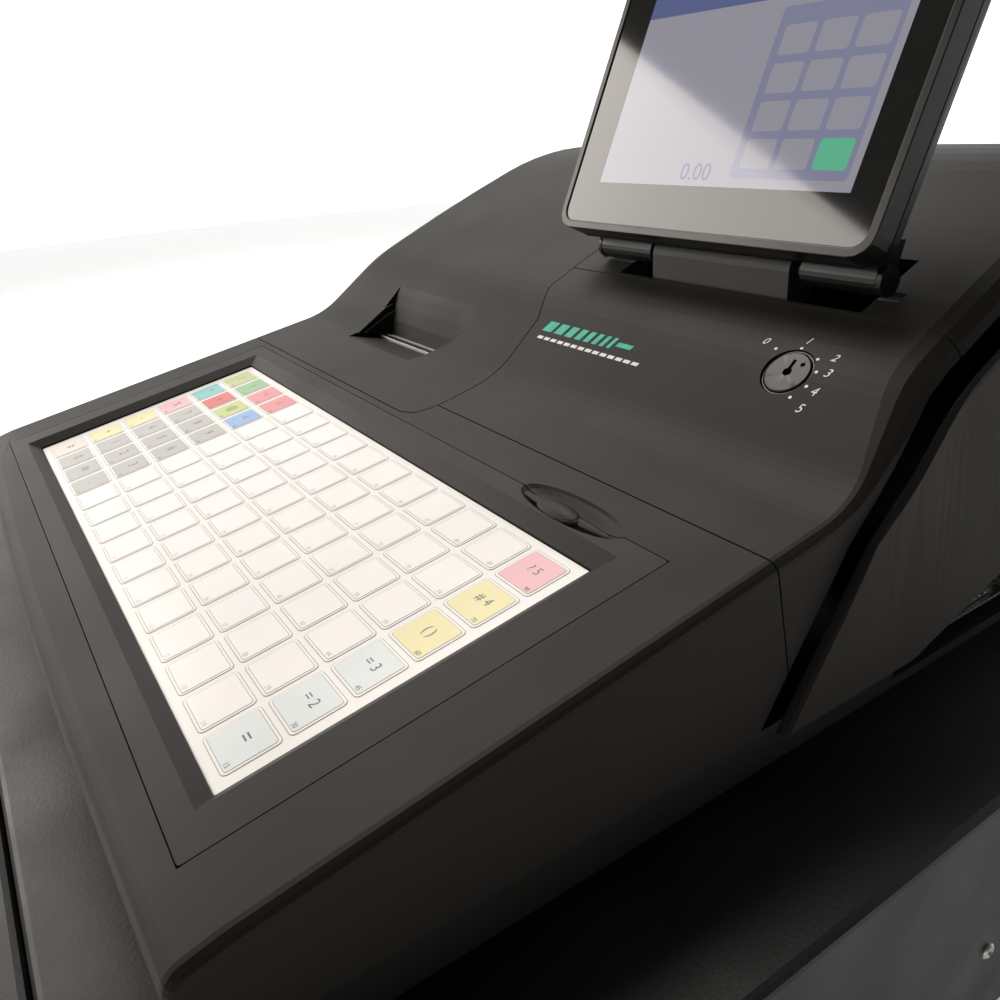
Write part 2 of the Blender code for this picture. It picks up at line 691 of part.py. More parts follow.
def make_mode_lock():
    radius = LOCK_RADIUS
    face = -0.2
    turned("mode_lock_barrel",
           [(radius, face - 0.5), (radius, -4.2), (radius + 1.2, -4.2), (radius + 1.2, -7), (radius, -7),
            (radius, -24), (radius - 0.5, -24), (radius - 0.5, face - 0.5)],
           (0, 0, 0), "Z", BLACK, lock, 32)
    cylinder = turned("mode_lock_cylinder",
                      [(0, -22), (radius - 0.8, -22), (radius - 0.8, face - 0.3), (radius - 1.1, face), (0, face)],
                      (0, 0, 0), "Z", GREY, lock, 32)
    hole = rod("pin_hole", 1.4, (0, 0, -12), 20, "Z", parent=lock, sides=16)
    slot = box("key_slot", (-0.55, 0, -12), (0.55, 4.4, 8), parent=lock)
    mark = rod("mark", 0.75, (3.2, 3.3, -1.4), 8, "Z", parent=lock, sides=12)
    cut(cylinder, join(hole, slot), mark)
    smooth(cylinder)


# ---------------------------------------------------------------- display head


def make_display():
    """The tilting head, modelled on its own face: X across, Y up the face, +Z out of the screen."""
    width, height = DISPLAY_SIZE
    half = width / 2
    frame = box("display_frame", (-half, 0, -8), (half, height, 0), PLASTIC, head, vertical_bevel=7.0)
    cut(frame, box("window", (-half + 2.6, 2.6, -2.4), (half - 2.6, height - 2.6, 5), parent=head,
                   vertical_bevel=5.0))
    cut(frame, box("cavity", (-half + 6, 6, -12), (half - 6, height - 6, 5), parent=head))
    round_edges(frame, 0.8, 2, 50)
    box("display_glass", (-half + 2.9, 2.9, -1.9), (half - 2.9, height - 2.9, -0.5), GLASS, head,
        vertical_bevel=4.7)
    screen_half = SCREEN_SIZE[0] / 2
    box("lcd_panel", (SCREEN_SHIFT - screen_half - 3, SCREEN_FOOT - 4, -6.0),
        (SCREEN_SHIFT + screen_half + 3, SCREEN_FOOT + SCREEN_SIZE[1] + 3, -2.4), SCREEN, head)
    box("display_board", (-50, 14, -12.0), (50, 82, -10.4), BOARD, head)

    bm = bmesh.new()
    loops = []
    for inset, top, foot, depth in ((0.0, 0.0, 0.0, -8.3), (0.6, 0.6, 0.6, -12.0), (14.0, 14.0, 9.0, -24.0)):
        corners = ((-half + inset, foot), (half - inset, foot), (half - inset, height - top),
                   (-half + inset, height - top))
        loops.append([bm.verts.new((x, y, depth)) for x, y in corners])
    for lower, upper in zip(loops, loops[1:]):
        for k in range(4):
            m = (k + 1) % 4
            bm.faces.new((lower[k], lower[m], upper[m], upper[k]))
    bm.faces.new(loops[0])
    bm.faces.new(loops[-1])
    corner_edges = [e for e in bm.edges if abs(e.verts[0].co.z - e.verts[1].co.z) > 1e-6]
    bmesh.ops.bevel(bm, geom=corner_edges, offset=7.0, segments=4, affect="EDGES", profile=0.5)
    shell = add_object("display_shell", bm, PLASTIC, head)
    cut(shell, box("hollow", (-half + 18, 20, -20.5), (half - 18, height - 18, 5), parent=head))
    cut(shell, box("hollow_front", (-half + 5, 8, -12.6), (half - 5, height - 6, 5), parent=head))
    cut(shell, box("rear_window", (-36, 44, -30), (36, 66, -15), parent=head))
    for low, high in ((10.9, 38.4), (104.6, 131.0)):
        join(shell, prism("lug", lug_outline(), low, high, parent=register))
    cut(shell, rod("pin_bore", 3.15, (0, *TILT_AXIS), 200, parent=register))
    cut(shell, rod("knuckle_clearance", 7.2, (38.5, *TILT_AXIS), 66.5, parent=register))
    smooth(shell)

    box("customer_display", (-34, 45, -22.2), (34, 65, -19.0), BLACK, head)

    for name in ("display_frame", "display_glass", "lcd_panel", "display_board", "display_shell",
                 "customer_display"):
        hang_on(bpy.data.objects[name], tilt)

    pin_left, pin_right = 9.0, 132.9
    turned("tilt_pin",
           [(0, 0), (4.6, 0), (4.6, 1.6), (3.0, 1.6), (3.0, pin_right - pin_left - 1.6),
            (4.6, pin_right - pin_left - 1.6), (4.6, pin_right - pin_left), (0, pin_right - pin_left)],
           (pin_left, *TILT_AXIS), "X", STEEL, register, 24)

    y, z = TILT_AXIS
    ring = [(y + 5.4 * math.cos(a), z + 5.4 * math.sin(a)) for a in (math.pi * (10 - k) / 10 for k in range(11))]
    stand = prism("display_stand", [(y + 12, 40), (y - 5.4, 40)] + ring, 41, 102, GREY, register)
    join(stand, box("post", (52, y - 4, BASE_BOTTOM + 2.8), (91, y + 10, 45), GREY, register))
    cut(stand, rod("bore", 3.15, (0, *TILT_AXIS), 200, parent=register))
    smooth(stand)


def lug_outline():
    """A hinge lug: a round end on the tilt pin, running up into the display's shell."""
    y, z = TILT_AXIS
    radius = 4.4
    start, steps = math.radians(150.0), 10
    arc = [(y + radius * math.cos(start + math.pi * k / steps), z + radius * math.sin(start + math.pi * k / steps))
           for k in range(steps + 1)]
    up = Vector((math.sin(DISPLAY_TILT), math.cos(DISPLAY_TILT)))
    back = Vector((math.cos(DISPLAY_TILT), -math.sin(DISPLAY_TILT)))
    foot = Vector(DISPLAY_FOOT[1:])
    front_up, back_up = foot + up * 9.0 + back * 12.0, foot + up * 12.0 + back * 21.0
    return arc + [tuple(back_up), tuple(front_up)]


# ---------------------------------------------------------------- printer


def gear_outline(teeth, shift=0.0):
    """Straight-sided teeth, thinned for backlash."""
    pitch = GEAR_MODULE * teeth / 2
    outer, root = pitch + 0.85 * GEAR_MODULE, pitch - 1.15 * GEAR_MODULE
    step = 2 * math.pi / teeth
    points = []
    for k in range(teeth):
        for radius, share in ((root, -0.36), (outer, -0.11), (outer, 0.11), (root, 0.36)):
            a = (k + share + shift) * step
            points.append((radius * math.cos(a), radius * math.sin(a)))
    return points


def gear(name, axis, teeth, low_x, high_x, bore, mesh_angle, phase):
    """A spur gear whose tooth (phase 0) or gap (phase 0.5) points along mesh_angle in the YZ plane."""
    shift = phase + mesh_angle / (2 * math.pi / teeth)
    outline = [(axis[0] + y, axis[1] + z) for y, z in gear_outline(teeth, shift)]
    made = prism(name, outline, low_x, high_x, WHITE, register)
    if bore:
        cut(made, rod("bore", bore, (low_x - 2, *axis), high_x - low_x + 4, parent=register, sides=20))
    set_origin(made, ((low_x + high_x) / 2, *axis))
    return made


def make_printer():
    low, high = PAPER_MIDDLE - PAPER_WIDTH / 2, PAPER_MIDDLE + PAPER_WIDTH / 2
    y, z = PLATEN_AXIS
    bracket = box("printer_frame", (low - 8, 148, -6), (high + 10, 180, -4), STEEL, register)
    for x in (low - 8, high + 8.5):
        cheek = prism("cheek", [(148, -5), (180, -5), (176, 12), (170, 16), (152, 16), (148, 10)], x, x + 1.5,
                      STEEL, register)
        join(bracket, cheek)
    join(bracket, prism("idler_arm", [(172, -5), (188, -5), (186, 5), (172, 10)], high + 8.5, high + 10, STEEL,
                        register))
    join(bracket, rod("idler_axle", 1.5, (high + 9, *IDLER_AXIS), 8, "X", STEEL, register, 16))
    join(bracket, box("leg", (-100, 156, BASE_BOTTOM + 2.8), (-58, 172, -5), STEEL, register))
    cut(bracket, rod("bore", 2.1, (-200, y, z), 250, parent=register))
    platen = turned("platen_roller",
                    [(0, 0), (2.0, 0), (2.0, 10), (6.0, 10), (6.0, 10 + PAPER_WIDTH), (2.0, 10 + PAPER_WIDTH),
                     (2.0, 16.6 + PAPER_WIDTH), (1.6, 16.6 + PAPER_WIDTH), (1.6, 24 + PAPER_WIDTH),
                     (0, 24 + PAPER_WIDTH)],
                    (low - 10, y, z), "X", RUBBER, register, 24)
    set_origin(platen, (PAPER_MIDDLE, y, z))
    box("print_head", (low, 151.5, -3.6), (high, 158.9, 15.5), STEEL, register, bevel=0.5)
    gear_low, gear_high = high + 11.0, high + 14.6
    to_idler = math.atan2(IDLER_AXIS[1] - z, IDLER_AXIS[0] - y)
    to_motor = math.atan2(MOTOR_AXIS[1] - IDLER_AXIS[1], MOTOR_AXIS[0] - IDLER_AXIS[0])
    platen_gear = gear("platen_gear", PLATEN_AXIS, 24, gear_low, gear_high, 0.0, to_idler, 0.0)
    platen_gear_bore = rod("bore", 1.65, (gear_low - 2, y, z), 8, parent=register, sides=20)
    cut(platen_gear, platen_gear_bore)
    idler = gear("idler_gear", IDLER_AXIS, 24, gear_low, gear_high, 1.65, to_idler + math.pi, 0.5)
    # The idler's gap faces the platen gear's tooth; the pinion is phased from the idler's nearest tooth.
    step = 2 * math.pi / 24
    offset = ((to_motor - (to_idler + math.pi)) / step + 0.5) % 1.0
    gear("motor_pinion", MOTOR_AXIS, 16, gear_low, gear_high, 1.25, to_motor + math.pi, 0.5 + offset)
    turned("feed_motor", [(0, 0), (1.15, 0), (1.15, 6.2), (10.5, 6.2), (10.5, 24), (0, 24)],
           (gear_low - 1.0, *MOTOR_AXIS), "X", STEEL, register, 24)

    cradle = [(202, -30), (290, -30), (290, ROLL_AXIS[1] - 4)]
    steps, radius = 14, ROLL_RADIUS + 1.0
    for k in range(steps + 1):
        a = -math.radians(6 + 168 * k / steps)
        cradle.append((ROLL_AXIS[0] + radius * math.cos(a), ROLL_AXIS[1] + radius * math.sin(a)))
    cradle.append((202, ROLL_AXIS[1] - 4))
    prism("paper_cradle", cradle, low - 3, high + 3, BLACK, register)
    roll = turned("paper_roll",
                  [(6.0, 0), (ROLL_RADIUS, 0), (ROLL_RADIUS, PAPER_WIDTH - 0.6), (6.0, PAPER_WIDTH - 0.6)],
                  (low + 0.3, *ROLL_AXIS), "X", PAPER, register, 32)
    set_origin(roll, (PAPER_MIDDLE, *ROLL_AXIS))
    box("receipt_paper", (low, 159.15, 15.8), (high, 159.4, 26.2), PAPER, register)


# ---------------------------------------------------------------- cash drawer


def make_drawer_case():
    half, back = DRAWER_WIDTH / 2, DRAWER_DEPTH / 2
    front = -back + FASCIA_THICK + 0.5
    case = box("drawer_case", (-half, front, DRAWER_FOOT), (half, back, DRAWER_TOP), PAINT)
    top_edges = 2.4
    modifier = case.modifiers.new("fold", "BEVEL")
    modifier.width = top_edges * MM
    modifier.segments = 3
    bake(case)
    cut(case, box("inside", (-half + DRAWER_WALL, front - 10, DRAWER_FOOT + DRAWER_WALL),
                  (half - DRAWER_WALL, back - DRAWER_WALL, DRAWER_TOP - DRAWER_WALL)))
    smooth(case)
    for side, x in (("left", -175.0), ("right", 175.0)):
        for end, y in (("front", -165.0), ("rear", 170.0)):
            rod(f"drawer_foot_{end}_{side}", 11.0, (x, y, 0), DRAWER_FOOT - GAP, "Z", RUBBER, None, 20)


def make_slides():
    """A channel on each case wall, a runner on each side of the tray, and two rollers a side."""
    for side, sign in (("left", -1), ("right", 1)):
        wall = sign * (DRAWER_WIDTH / 2 - DRAWER_WALL - GAP)
        inner = sign * 194.2
        low, high = sorted((wall, inner))
        channel = box(f"slide_channel_{side}", (low, -188, 34), (high, 196, 58.6), STEEL)
        groove_low, groove_high = sorted((wall - sign * 1.6, inner - sign * 4))
        cut(channel, box("groove", (groove_low, -200, 35.6), (groove_high, 210, 57.0)))
        roller_low = min(sign * 192.4, sign * 201.0)
        roller = turned(f"slide_roller_{side}",
                        [(0, 0), (ROLLER_RADIUS, 0), (ROLLER_RADIUS, 8.6), (0, 8.6)],
                        (roller_low, 180, 46.0), "X", WHITE, None, 24)
        set_origin(roller, (sign * 196.7, 180, 46.0))


def make_tray():
    half = TRAY_HALF_WIDTH
    front, back = -DRAWER_DEPTH / 2 + FASCIA_THICK + GAP, 190.0
    tray = box("drawer_tray", (-half, front, 13), (half, back, 84), PAINT)
    cut(tray, box("inside", (-half + 1.5, front + 1.5, 14.5), (half - 1.5, back - 1.5, 100)))
    for side in (-1, 1):
        low, high = sorted((side * (half - 0.5), side * 191.8))
        join(tray, box("runner", (low, -185, 38), (high, 186, 60)))
    fascia = box("drawer_fascia", (-DRAWER_WIDTH / 2 + 0.5, -DRAWER_DEPTH / 2, DRAWER_FOOT + 1),
                 (DRAWER_WIDTH / 2 - 0.5, -DRAWER_DEPTH / 2 + FASCIA_THICK, DRAWER_TOP - 0.5), PAINT, None,
                 bevel=2.0)
    cut(fascia, rod("lock_hole", 9.3, (0, -220, 62), 40, "Y", sides=28))
    grip = box("grip", (-60, -DRAWER_DEPTH / 2 - 4, DRAWER_FOOT - 6), (60, -DRAWER_DEPTH / 2 + 7, DRAWER_FOOT + 13),
               parent=None, bevel=3.0)
    cut(fascia, grip)
    smooth(fascia)
    turned("drawer_lock_barrel", [(9.0, 0), (9.0, 10.5), (7.0, 10.5), (7.0, 0)], (0, -DRAWER_DEPTH / 2 + 0.1, 62),
           "Y", STEEL, None, 28)
    cylinder = turned("drawer_lock_cylinder", [(0, 0), (6.7, 0), (6.7, 10.2), (0, 10.2)],
                      (0, -DRAWER_DEPTH / 2 + 0.3, 62), "Y", STEEL, None, 28)
    cut(cylinder, box("keyway", (-0.9, -DRAWER_DEPTH / 2 - 3, 58), (0.9, -DRAWER_DEPTH / 2 + 6, 66)))
    smooth(cylinder)
    return tray


def make_till():
    """The note tray with four bays, the coin tray in front of it, and the sprung note clips."""
    half = TILL_HALF_WIDTH
    till = box("note_tray", (-half, -78, 15), (half, 170, TILL_TOP), GREY, None, vertical_bevel=6.0)
    bay_pitch = 2 * half / 4
    for k in range(4):
        low = -half + k * bay_pitch
        bay = box("bay", (low + 2.2, -75, 18), (low + bay_pitch - 2.2, 167, 90), vertical_bevel=6.0)
        cut(till, bay)
    join(till, rod("axle", 2.0, (-half + 1.0, *CLIP_AXLE), 2 * half - 2.0, "X", STEEL, None, 16))
    smooth(till)

    coins = box("coin_tray", (-half, -188, 15), (half, -79, TILL_TOP - 4), GREY, None, vertical_bevel=6.0)
    cups = 5
    pitch = 2 * half / cups
    floor_radius = 40.0
    for k in range(cups):
        low = -half + k * pitch + 2.0
        bowl = [(-185.0, 100.0), (-185.0, 58.0)]
        for step in range(9):
            a = math.radians(200 + 140 * step / 8)
            bowl.append((-133.5 + 50 * math.cos(a) * 1.02, 58.0 + floor_radius * (0.35 + math.sin(a)) / 0.65 * 0.62))
        bowl += [(-82.0, 58.0), (-82.0, 100.0)]
        cut(coins, prism("cup", bowl, low, low + pitch - 4.0))
    smooth(coins)

    y, z = CLIP_AXLE
    drop = z - 23.0
    reach = math.sqrt(CLIP_ARM ** 2 - drop ** 2)
    for k in range(4):
        middle = -half + (k + 0.5) * bay_pitch
        outline = [(y - 2, z + 3.6), (y + 3.4, z + 2), (y + 3.4, z - 3), (y - 2, z - 3.6),
                   (y - reach + 8, z - drop - 1.0), (y - reach - 14, z - drop - 1.0), (y - reach - 18, z - drop + 3),
                   (y - reach - 16, z - drop + 3.4), (y - reach - 12, z - drop + 1.4), (y - reach + 8, z - drop + 1.4)]
        clip = prism(f"note_clip_{k + 1}", outline, middle - 14, middle + 14, STEEL)
        cut(clip, rod("bore", 2.15, (middle - 40, *CLIP_AXLE), 80, sides=20))
        set_origin(clip, (middle, *CLIP_AXLE))


def make_latch():
    """The release solenoid at the back of the case, and the hook that holds the tray's striker."""
    box("release_solenoid", (-14, 193.5, 10.5), (14, 205.4, 24), STEEL, None, bevel=0.8)
    hook = prism("latch_hook", [(190.6, 32.5), (204, 32.5), (204, 37.5), (195, 37.5), (195, 43.5), (190.6, 43.5)],
                 -6, 6, STEEL)
    set_origin(hook, (0, 203.0, 35.0))


clear_scene()
register = empty("register_frame", REGISTER_FRAME)
keyboard = empty("keyboard_plane", (0, 0, 0), (KEYBOARD_TILT, 0, 0), register)


lock_height, lock_slope = surface_at(LOCK_Y)
lock = empty("mode_lock_axis", (LOCK_X, LOCK_Y, lock_height), (lock_slope, 0, 0), register)
head = empty("display_face", DISPLAY_FOOT, (math.pi / 2 - DISPLAY_TILT, 0, 0), register)
tilt = empty("display_tilt_axis", (DISPLAY_FOOT[0], *TILT_AXIS), parent=register)

make_covers()
make_base()
make_ports()
make_internals()
make_keyboard()
make_mode_lock()
make_display()
make_printer()
make_drawer_case()
make_slides()
make_tray()
make_till()
make_latch()
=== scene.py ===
"""Looks for the cash register: materials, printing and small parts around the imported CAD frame.

Lengths in the tables are millimetres in the register frame (the front edge of the key sheet), unless a
name says otherwise; the helpers turn them into metres in the row frame.
"""

import math

import bmesh
import bpy
from mathutils import Matrix, Vector


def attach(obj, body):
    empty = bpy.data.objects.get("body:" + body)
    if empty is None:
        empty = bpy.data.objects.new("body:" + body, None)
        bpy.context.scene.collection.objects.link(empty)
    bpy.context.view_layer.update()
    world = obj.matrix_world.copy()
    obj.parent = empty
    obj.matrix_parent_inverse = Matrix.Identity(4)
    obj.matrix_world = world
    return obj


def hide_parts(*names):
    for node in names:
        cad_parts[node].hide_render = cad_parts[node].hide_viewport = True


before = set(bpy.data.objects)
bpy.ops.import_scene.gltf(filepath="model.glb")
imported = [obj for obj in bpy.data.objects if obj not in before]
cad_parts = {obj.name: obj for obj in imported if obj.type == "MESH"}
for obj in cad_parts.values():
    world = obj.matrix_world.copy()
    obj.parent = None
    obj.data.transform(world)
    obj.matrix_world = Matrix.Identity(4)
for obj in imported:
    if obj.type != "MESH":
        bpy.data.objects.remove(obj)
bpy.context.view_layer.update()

MM = 0.001
REGISTER = Vector((0.0, -151.5, 154.5))
KEY_TILT = math.radians(9.4)
DISPLAY_TILT = math.radians(25.4)
DISPLAY_FOOT = Vector((67.0, 191.0, 79.0))
DECK_RISE = 3.1
SHEET = (264.0, 100.0)
LOCK = (123.8, 176.8)
MARK_LIFT = 0.06  # how far print stands off the housing
SCREEN_HEIGHT = -0.49  # the lit screen, behind the glass face
SCREEN_LAYER = 0.012
KEY_COLUMNS, KEY_ROWS = 15, 6

register_frame = Matrix.Translation(REGISTER)
key_frame = register_frame @ Matrix.Rotation(KEY_TILT, 4, "X")
display_frame = register_frame @ Matrix.Translation(DISPLAY_FOOT) @ Matrix.Rotation(
    math.pi / 2 - DISPLAY_TILT, 4, "X"
)


# ---------------------------------------------------------------- camera

CAMERA_LENS = 30.9
CAMERA_PLACE = (0.2799, -0.1683, 0.2780)  # metres, in the row frame
CAMERA_AZIMUTH = math.radians(-31.37)  # of the camera's side of the object, from +X
CAMERA_ELEVATION = math.radians(24.69)
CAMERA_ROLL = math.radians(-4.47)


def add_camera():
    """A three-quarter view from the cashier's right, close above the drawer and looking down at the deck."""
    data = bpy.data.cameras.new("camera")
    data.lens = CAMERA_LENS
    data.sensor_width = 36.0
    data.clip_start = 0.01
    cam = bpy.data.objects.new("camera", data)
    bpy.context.scene.collection.objects.link(cam)
    heading = Matrix.Rotation(CAMERA_AZIMUTH + math.pi / 2, 4, "Z")
    pitch = Matrix.Rotation(math.pi / 2 - CAMERA_ELEVATION, 4, "X")
    roll = Matrix.Rotation(CAMERA_ROLL, 4, "Z")
    cam.matrix_world = Matrix.Translation(CAMERA_PLACE) @ heading @ pitch @ roll
    bpy.context.scene.camera = cam


# ---------------------------------------------------------------- materials


class Shader:
    """A Principled material with a few procedural layers."""

    def __init__(self, name, colour, roughness=0.5, metallic=0.0, **inputs):
        self.material = bpy.data.materials.new(name)
        self.material.use_nodes = True
        self.tree = self.material.node_tree
        self.bsdf = self.tree.nodes["Principled BSDF"]
        self.bsdf.inputs["Base Color"].default_value = (*colour, 1.0)
        self.bsdf.inputs["Roughness"].default_value = roughness
        self.bsdf.inputs["Metallic"].default_value = metallic
        for key, value in inputs.items():
            self.bsdf.inputs[key.replace("_", " ")].default_value = value
        self.colour = colour
        self.coords = self.tree.nodes.new("ShaderNodeTexCoord").outputs["Object"]
        self.normal = None

    def link(self, a, b):
        self.tree.links.new(a, b)

    def stretched(self, scale):
        mapping = self.tree.nodes.new("ShaderNodeMapping")
        mapping.inputs["Scale"].default_value = scale
        self.link(self.coords, mapping.inputs["Vector"])
        return mapping.outputs["Vector"]

    def noise(self, scale, detail=3.0, rough=0.5, vector=None):
        node = self.tree.nodes.new("ShaderNodeTexNoise")
        node.inputs["Scale"].default_value = scale
        node.inputs["Detail"].default_value = detail
        node.inputs["Roughness"].default_value = rough
        self.link(vector or self.coords, node.inputs["Vector"])
        return node.outputs["Fac"]

    def cells(self, scale, feature="F1"):
        node = self.tree.nodes.new("ShaderNodeTexVoronoi")
        node.feature = feature
        node.inputs["Scale"].default_value = scale
        self.link(self.coords, node.inputs["Vector"])
        return node.outputs["Distance"]

    def spread(self, value, low, high, start=0.3, end=0.7):
        node = self.tree.nodes.new("ShaderNodeMapRange")
        for key, number in zip(("From Min", "From Max", "To Min", "To Max"), (start, end, low, high)):
            node.inputs[key].default_value = number
        self.link(value, node.inputs["Value"])
        return node.outputs["Result"]

    def mottle(self, scale, dark, light, detail=4.0):
        """Varies the colour between two multiples of itself."""
        mix = self.tree.nodes.new("ShaderNodeMix")
        mix.data_type = "RGBA"
        mix.inputs["A"].default_value = (*(c * dark for c in self.colour), 1.0)
        mix.inputs["B"].default_value = (*(min(1.0, c * light) for c in self.colour), 1.0)
        self.link(self.spread(self.noise(scale, detail), 0.0, 1.0), mix.inputs["Factor"])
        self.link(mix.outputs["Result"], self.bsdf.inputs["Base Color"])
        return self

    def wear(self, scale, low, high, detail=3.0):
        self.link(self.spread(self.noise(scale, detail), low, high), self.bsdf.inputs["Roughness"])
        return self

    def bump(self, height, strength, distance):
        node = self.tree.nodes.new("ShaderNodeBump")
        node.inputs["Strength"].default_value = strength
        node.inputs["Distance"].default_value = distance
        self.link(height, node.inputs["Height"])
        if self.normal is not None:
            self.link(self.normal, node.inputs["Normal"])
        self.normal = node.outputs["Normal"]
        self.link(self.normal, self.bsdf.inputs["Normal"])
        return self


def moulded(name, colour, roughness, grain=1500.0, strength=0.35, **inputs):
    """Spark-textured moulded plastic, with faint flow marks and handling sheen."""
    made = Shader(name, colour, roughness, **inputs)
    made.mottle(30.0, 0.97, 1.03)
    made.wear(22.0, roughness - 0.03, roughness + 0.04)
    made.bump(made.noise(grain, 2.0, 0.6), strength, 0.00006)
    made.bump(made.noise(60.0, 2.0), 0.08, 0.0002)
    return made.material


def powder_coat(name, colour, roughness):
    made = Shader(name, colour, roughness, Specular_IOR_Level=0.45)
    made.mottle(14.0, 0.88, 1.12)
    made.wear(30.0, roughness - 0.06, roughness + 0.08)
    made.bump(made.cells(900.0), 0.35, 0.00010)
    made.bump(made.noise(260.0, 2.0), 0.25, 0.00010)
    return made.material


def plated(name, colour, roughness, brush=(1.0, 90.0, 90.0)):
    """Zinc-plated or drawn steel, brushed along its length."""
    made = Shader(name, colour, roughness, 1.0)
    made.mottle(25.0, 0.82, 1.06)
    streaks = made.noise(60.0, 4.0, 0.6, made.stretched(brush))
    made.link(made.spread(streaks, roughness - 0.08, roughness + 0.14), made.bsdf.inputs["Roughness"])
    made.bump(streaks, 0.12, 0.00004)
    return made.material


def rubber(name, colour):
    made = Shader(name, colour, 0.8, Specular_IOR_Level=0.3)
    made.mottle(60.0, 0.8, 1.2).wear(40.0, 0.72, 0.9)
    made.bump(made.noise(900.0), 0.4, 0.00010)
    return made.material


def paper(name, colour):
    made = Shader(name, colour, 0.72, Sheen_Weight=0.15)
    made.mottle(120.0, 0.96, 1.02)
    made.wear(300.0, 0.66, 0.8)
    made.bump(made.noise(1800.0, 4.0, 0.7), 0.25, 0.00004)
    return made.material


def printed(name, colour, roughness=0.34):
    """Ink on the key sheet, under its clear laminate: soft orange peel and a clear coat."""
    made = Shader(name, colour, roughness, Coat_Weight=0.35, Coat_Roughness=0.22)
    made.mottle(70.0, 0.975, 1.015)
    made.wear(45.0, roughness - 0.04, roughness + 0.06)
    made.bump(made.noise(420.0, 2.0), 0.10, 0.00005)
    return made.material


def board(name, colour):
    made = Shader(name, colour, 0.35, Coat_Weight=0.4)
    made.mottle(240.0, 0.75, 1.25)
    made.wear(120.0, 0.3, 0.45)
    made.bump(made.cells(420.0), 0.2, 0.00006)
    return made.material


def make_materials():
    m = {}
    m["case"] = moulded("case_plastic", (0.0150, 0.0128, 0.0098), 0.54, Specular_IOR_Level=0.20)
    m["pan"] = moulded("pan_plastic", (0.0075, 0.0068, 0.0058), 0.5, Specular_IOR_Level=0.3)
    m["key_rim"] = moulded("key_rim_plastic", (0.0142, 0.0122, 0.0094), 0.50, strength=0.28,
                           Specular_IOR_Level=0.20)
    m["display_rim"] = moulded("display_rim_plastic", (0.0085, 0.0076, 0.0066), 0.34, strength=0.20,
                               Specular_IOR_Level=0.38)
    m["black"] = moulded("black_plastic", (0.0065, 0.0063, 0.0060), 0.38, strength=0.2)
    m["neck"] = moulded("neck_plastic", (0.022, 0.0195, 0.0165), 0.45, strength=0.25)
    m["lock_ring"] = moulded("lock_ring_plastic", (0.0050, 0.0048, 0.0046), 0.30, strength=0.12)
    m["lock_core"] = moulded("lock_core_plastic", (0.020, 0.0178, 0.0150), 0.38, strength=0.25)
    m["grey"] = moulded("grey_plastic", (0.075, 0.075, 0.078), 0.5)
    m["tray"] = moulded("till_plastic", (0.020, 0.020, 0.021), 0.42, grain=900.0)
    m["white_plastic"] = moulded("acetal", (0.72, 0.70, 0.66), 0.38, strength=0.1)
    m["coat"] = powder_coat("drawer_coat", (0.0062, 0.0058, 0.0052), 0.46)
    m["steel"] = plated("zinc_steel", (0.62, 0.62, 0.60), 0.32)
    m["nickel"] = plated("nickel", (0.70, 0.68, 0.64), 0.20)
    m["rubber"] = rubber("foot_rubber", (0.012, 0.012, 0.012))
    m["paper"] = paper("receipt_paper_white", (0.90, 0.885, 0.85))
    m["board"] = board("solder_mask", (0.010, 0.10, 0.035))
    glass = Shader("panel_glass", (0.012, 0.0118, 0.0112), 0.055, Specular_IOR_Level=0.5)
    m["glass"] = glass.wear(18.0, 0.045, 0.08).mottle(6.0, 0.9, 1.1).material
    m["window"] = Shader("rear_window", (0.01, 0.012, 0.011), 0.08).wear(18.0, 0.06, 0.1).material
    inks = {
        "ink_base": (0.930, 0.900, 0.862), "ink_cell": (0.955, 0.912, 0.888),
        "ink_line": (0.300, 0.285, 0.275), "ink_grey": (0.500, 0.488, 0.455),
        "ink_text": (0.120, 0.115, 0.112), "ink_pale": (0.52, 0.49, 0.47),
        "ink_pink": (0.900, 0.480, 0.520), "ink_cream": (0.885, 0.760, 0.700),
        "ink_yellow": (0.880, 0.800, 0.420), "ink_blue": (0.780, 0.820, 0.820),
        "ink_teal": (0.200, 0.560, 0.560), "ink_sky": (0.250, 0.430, 0.740),
        "ink_olive": (0.560, 0.600, 0.250), "ink_red": (0.720, 0.090, 0.070),
        "ink_lime": (0.560, 0.640, 0.180), "ink_green": (0.250, 0.500, 0.220),
        "ink_rose": (0.800, 0.240, 0.260), "ink_magenta": (0.56, 0.20, 0.45),
    }
    for name, colour in inks.items():
        m[name] = printed(name, colour)
    m["mark_white"] = Shader("mark_white", (0.80, 0.79, 0.76), 0.5).mottle(300.0, 0.9, 1.05).material
    m["mark_teal"] = Shader("mark_teal", (0.02, 0.46, 0.32), 0.45).mottle(300.0, 0.85, 1.1).material
    return m


def lit(name, colour, strength):
    """A lit screen surface behind glass: emission with a glossy clear coat."""
    made = Shader(name, (0.012, 0.012, 0.012), 0.06)
    made.bsdf.inputs["Emission Color"].default_value = (*colour, 1.0)
    made.bsdf.inputs["Emission Strength"].default_value = strength
    made.wear(30.0, 0.05, 0.08)
    return made.material


# ---------------------------------------------------------------- mesh helpers


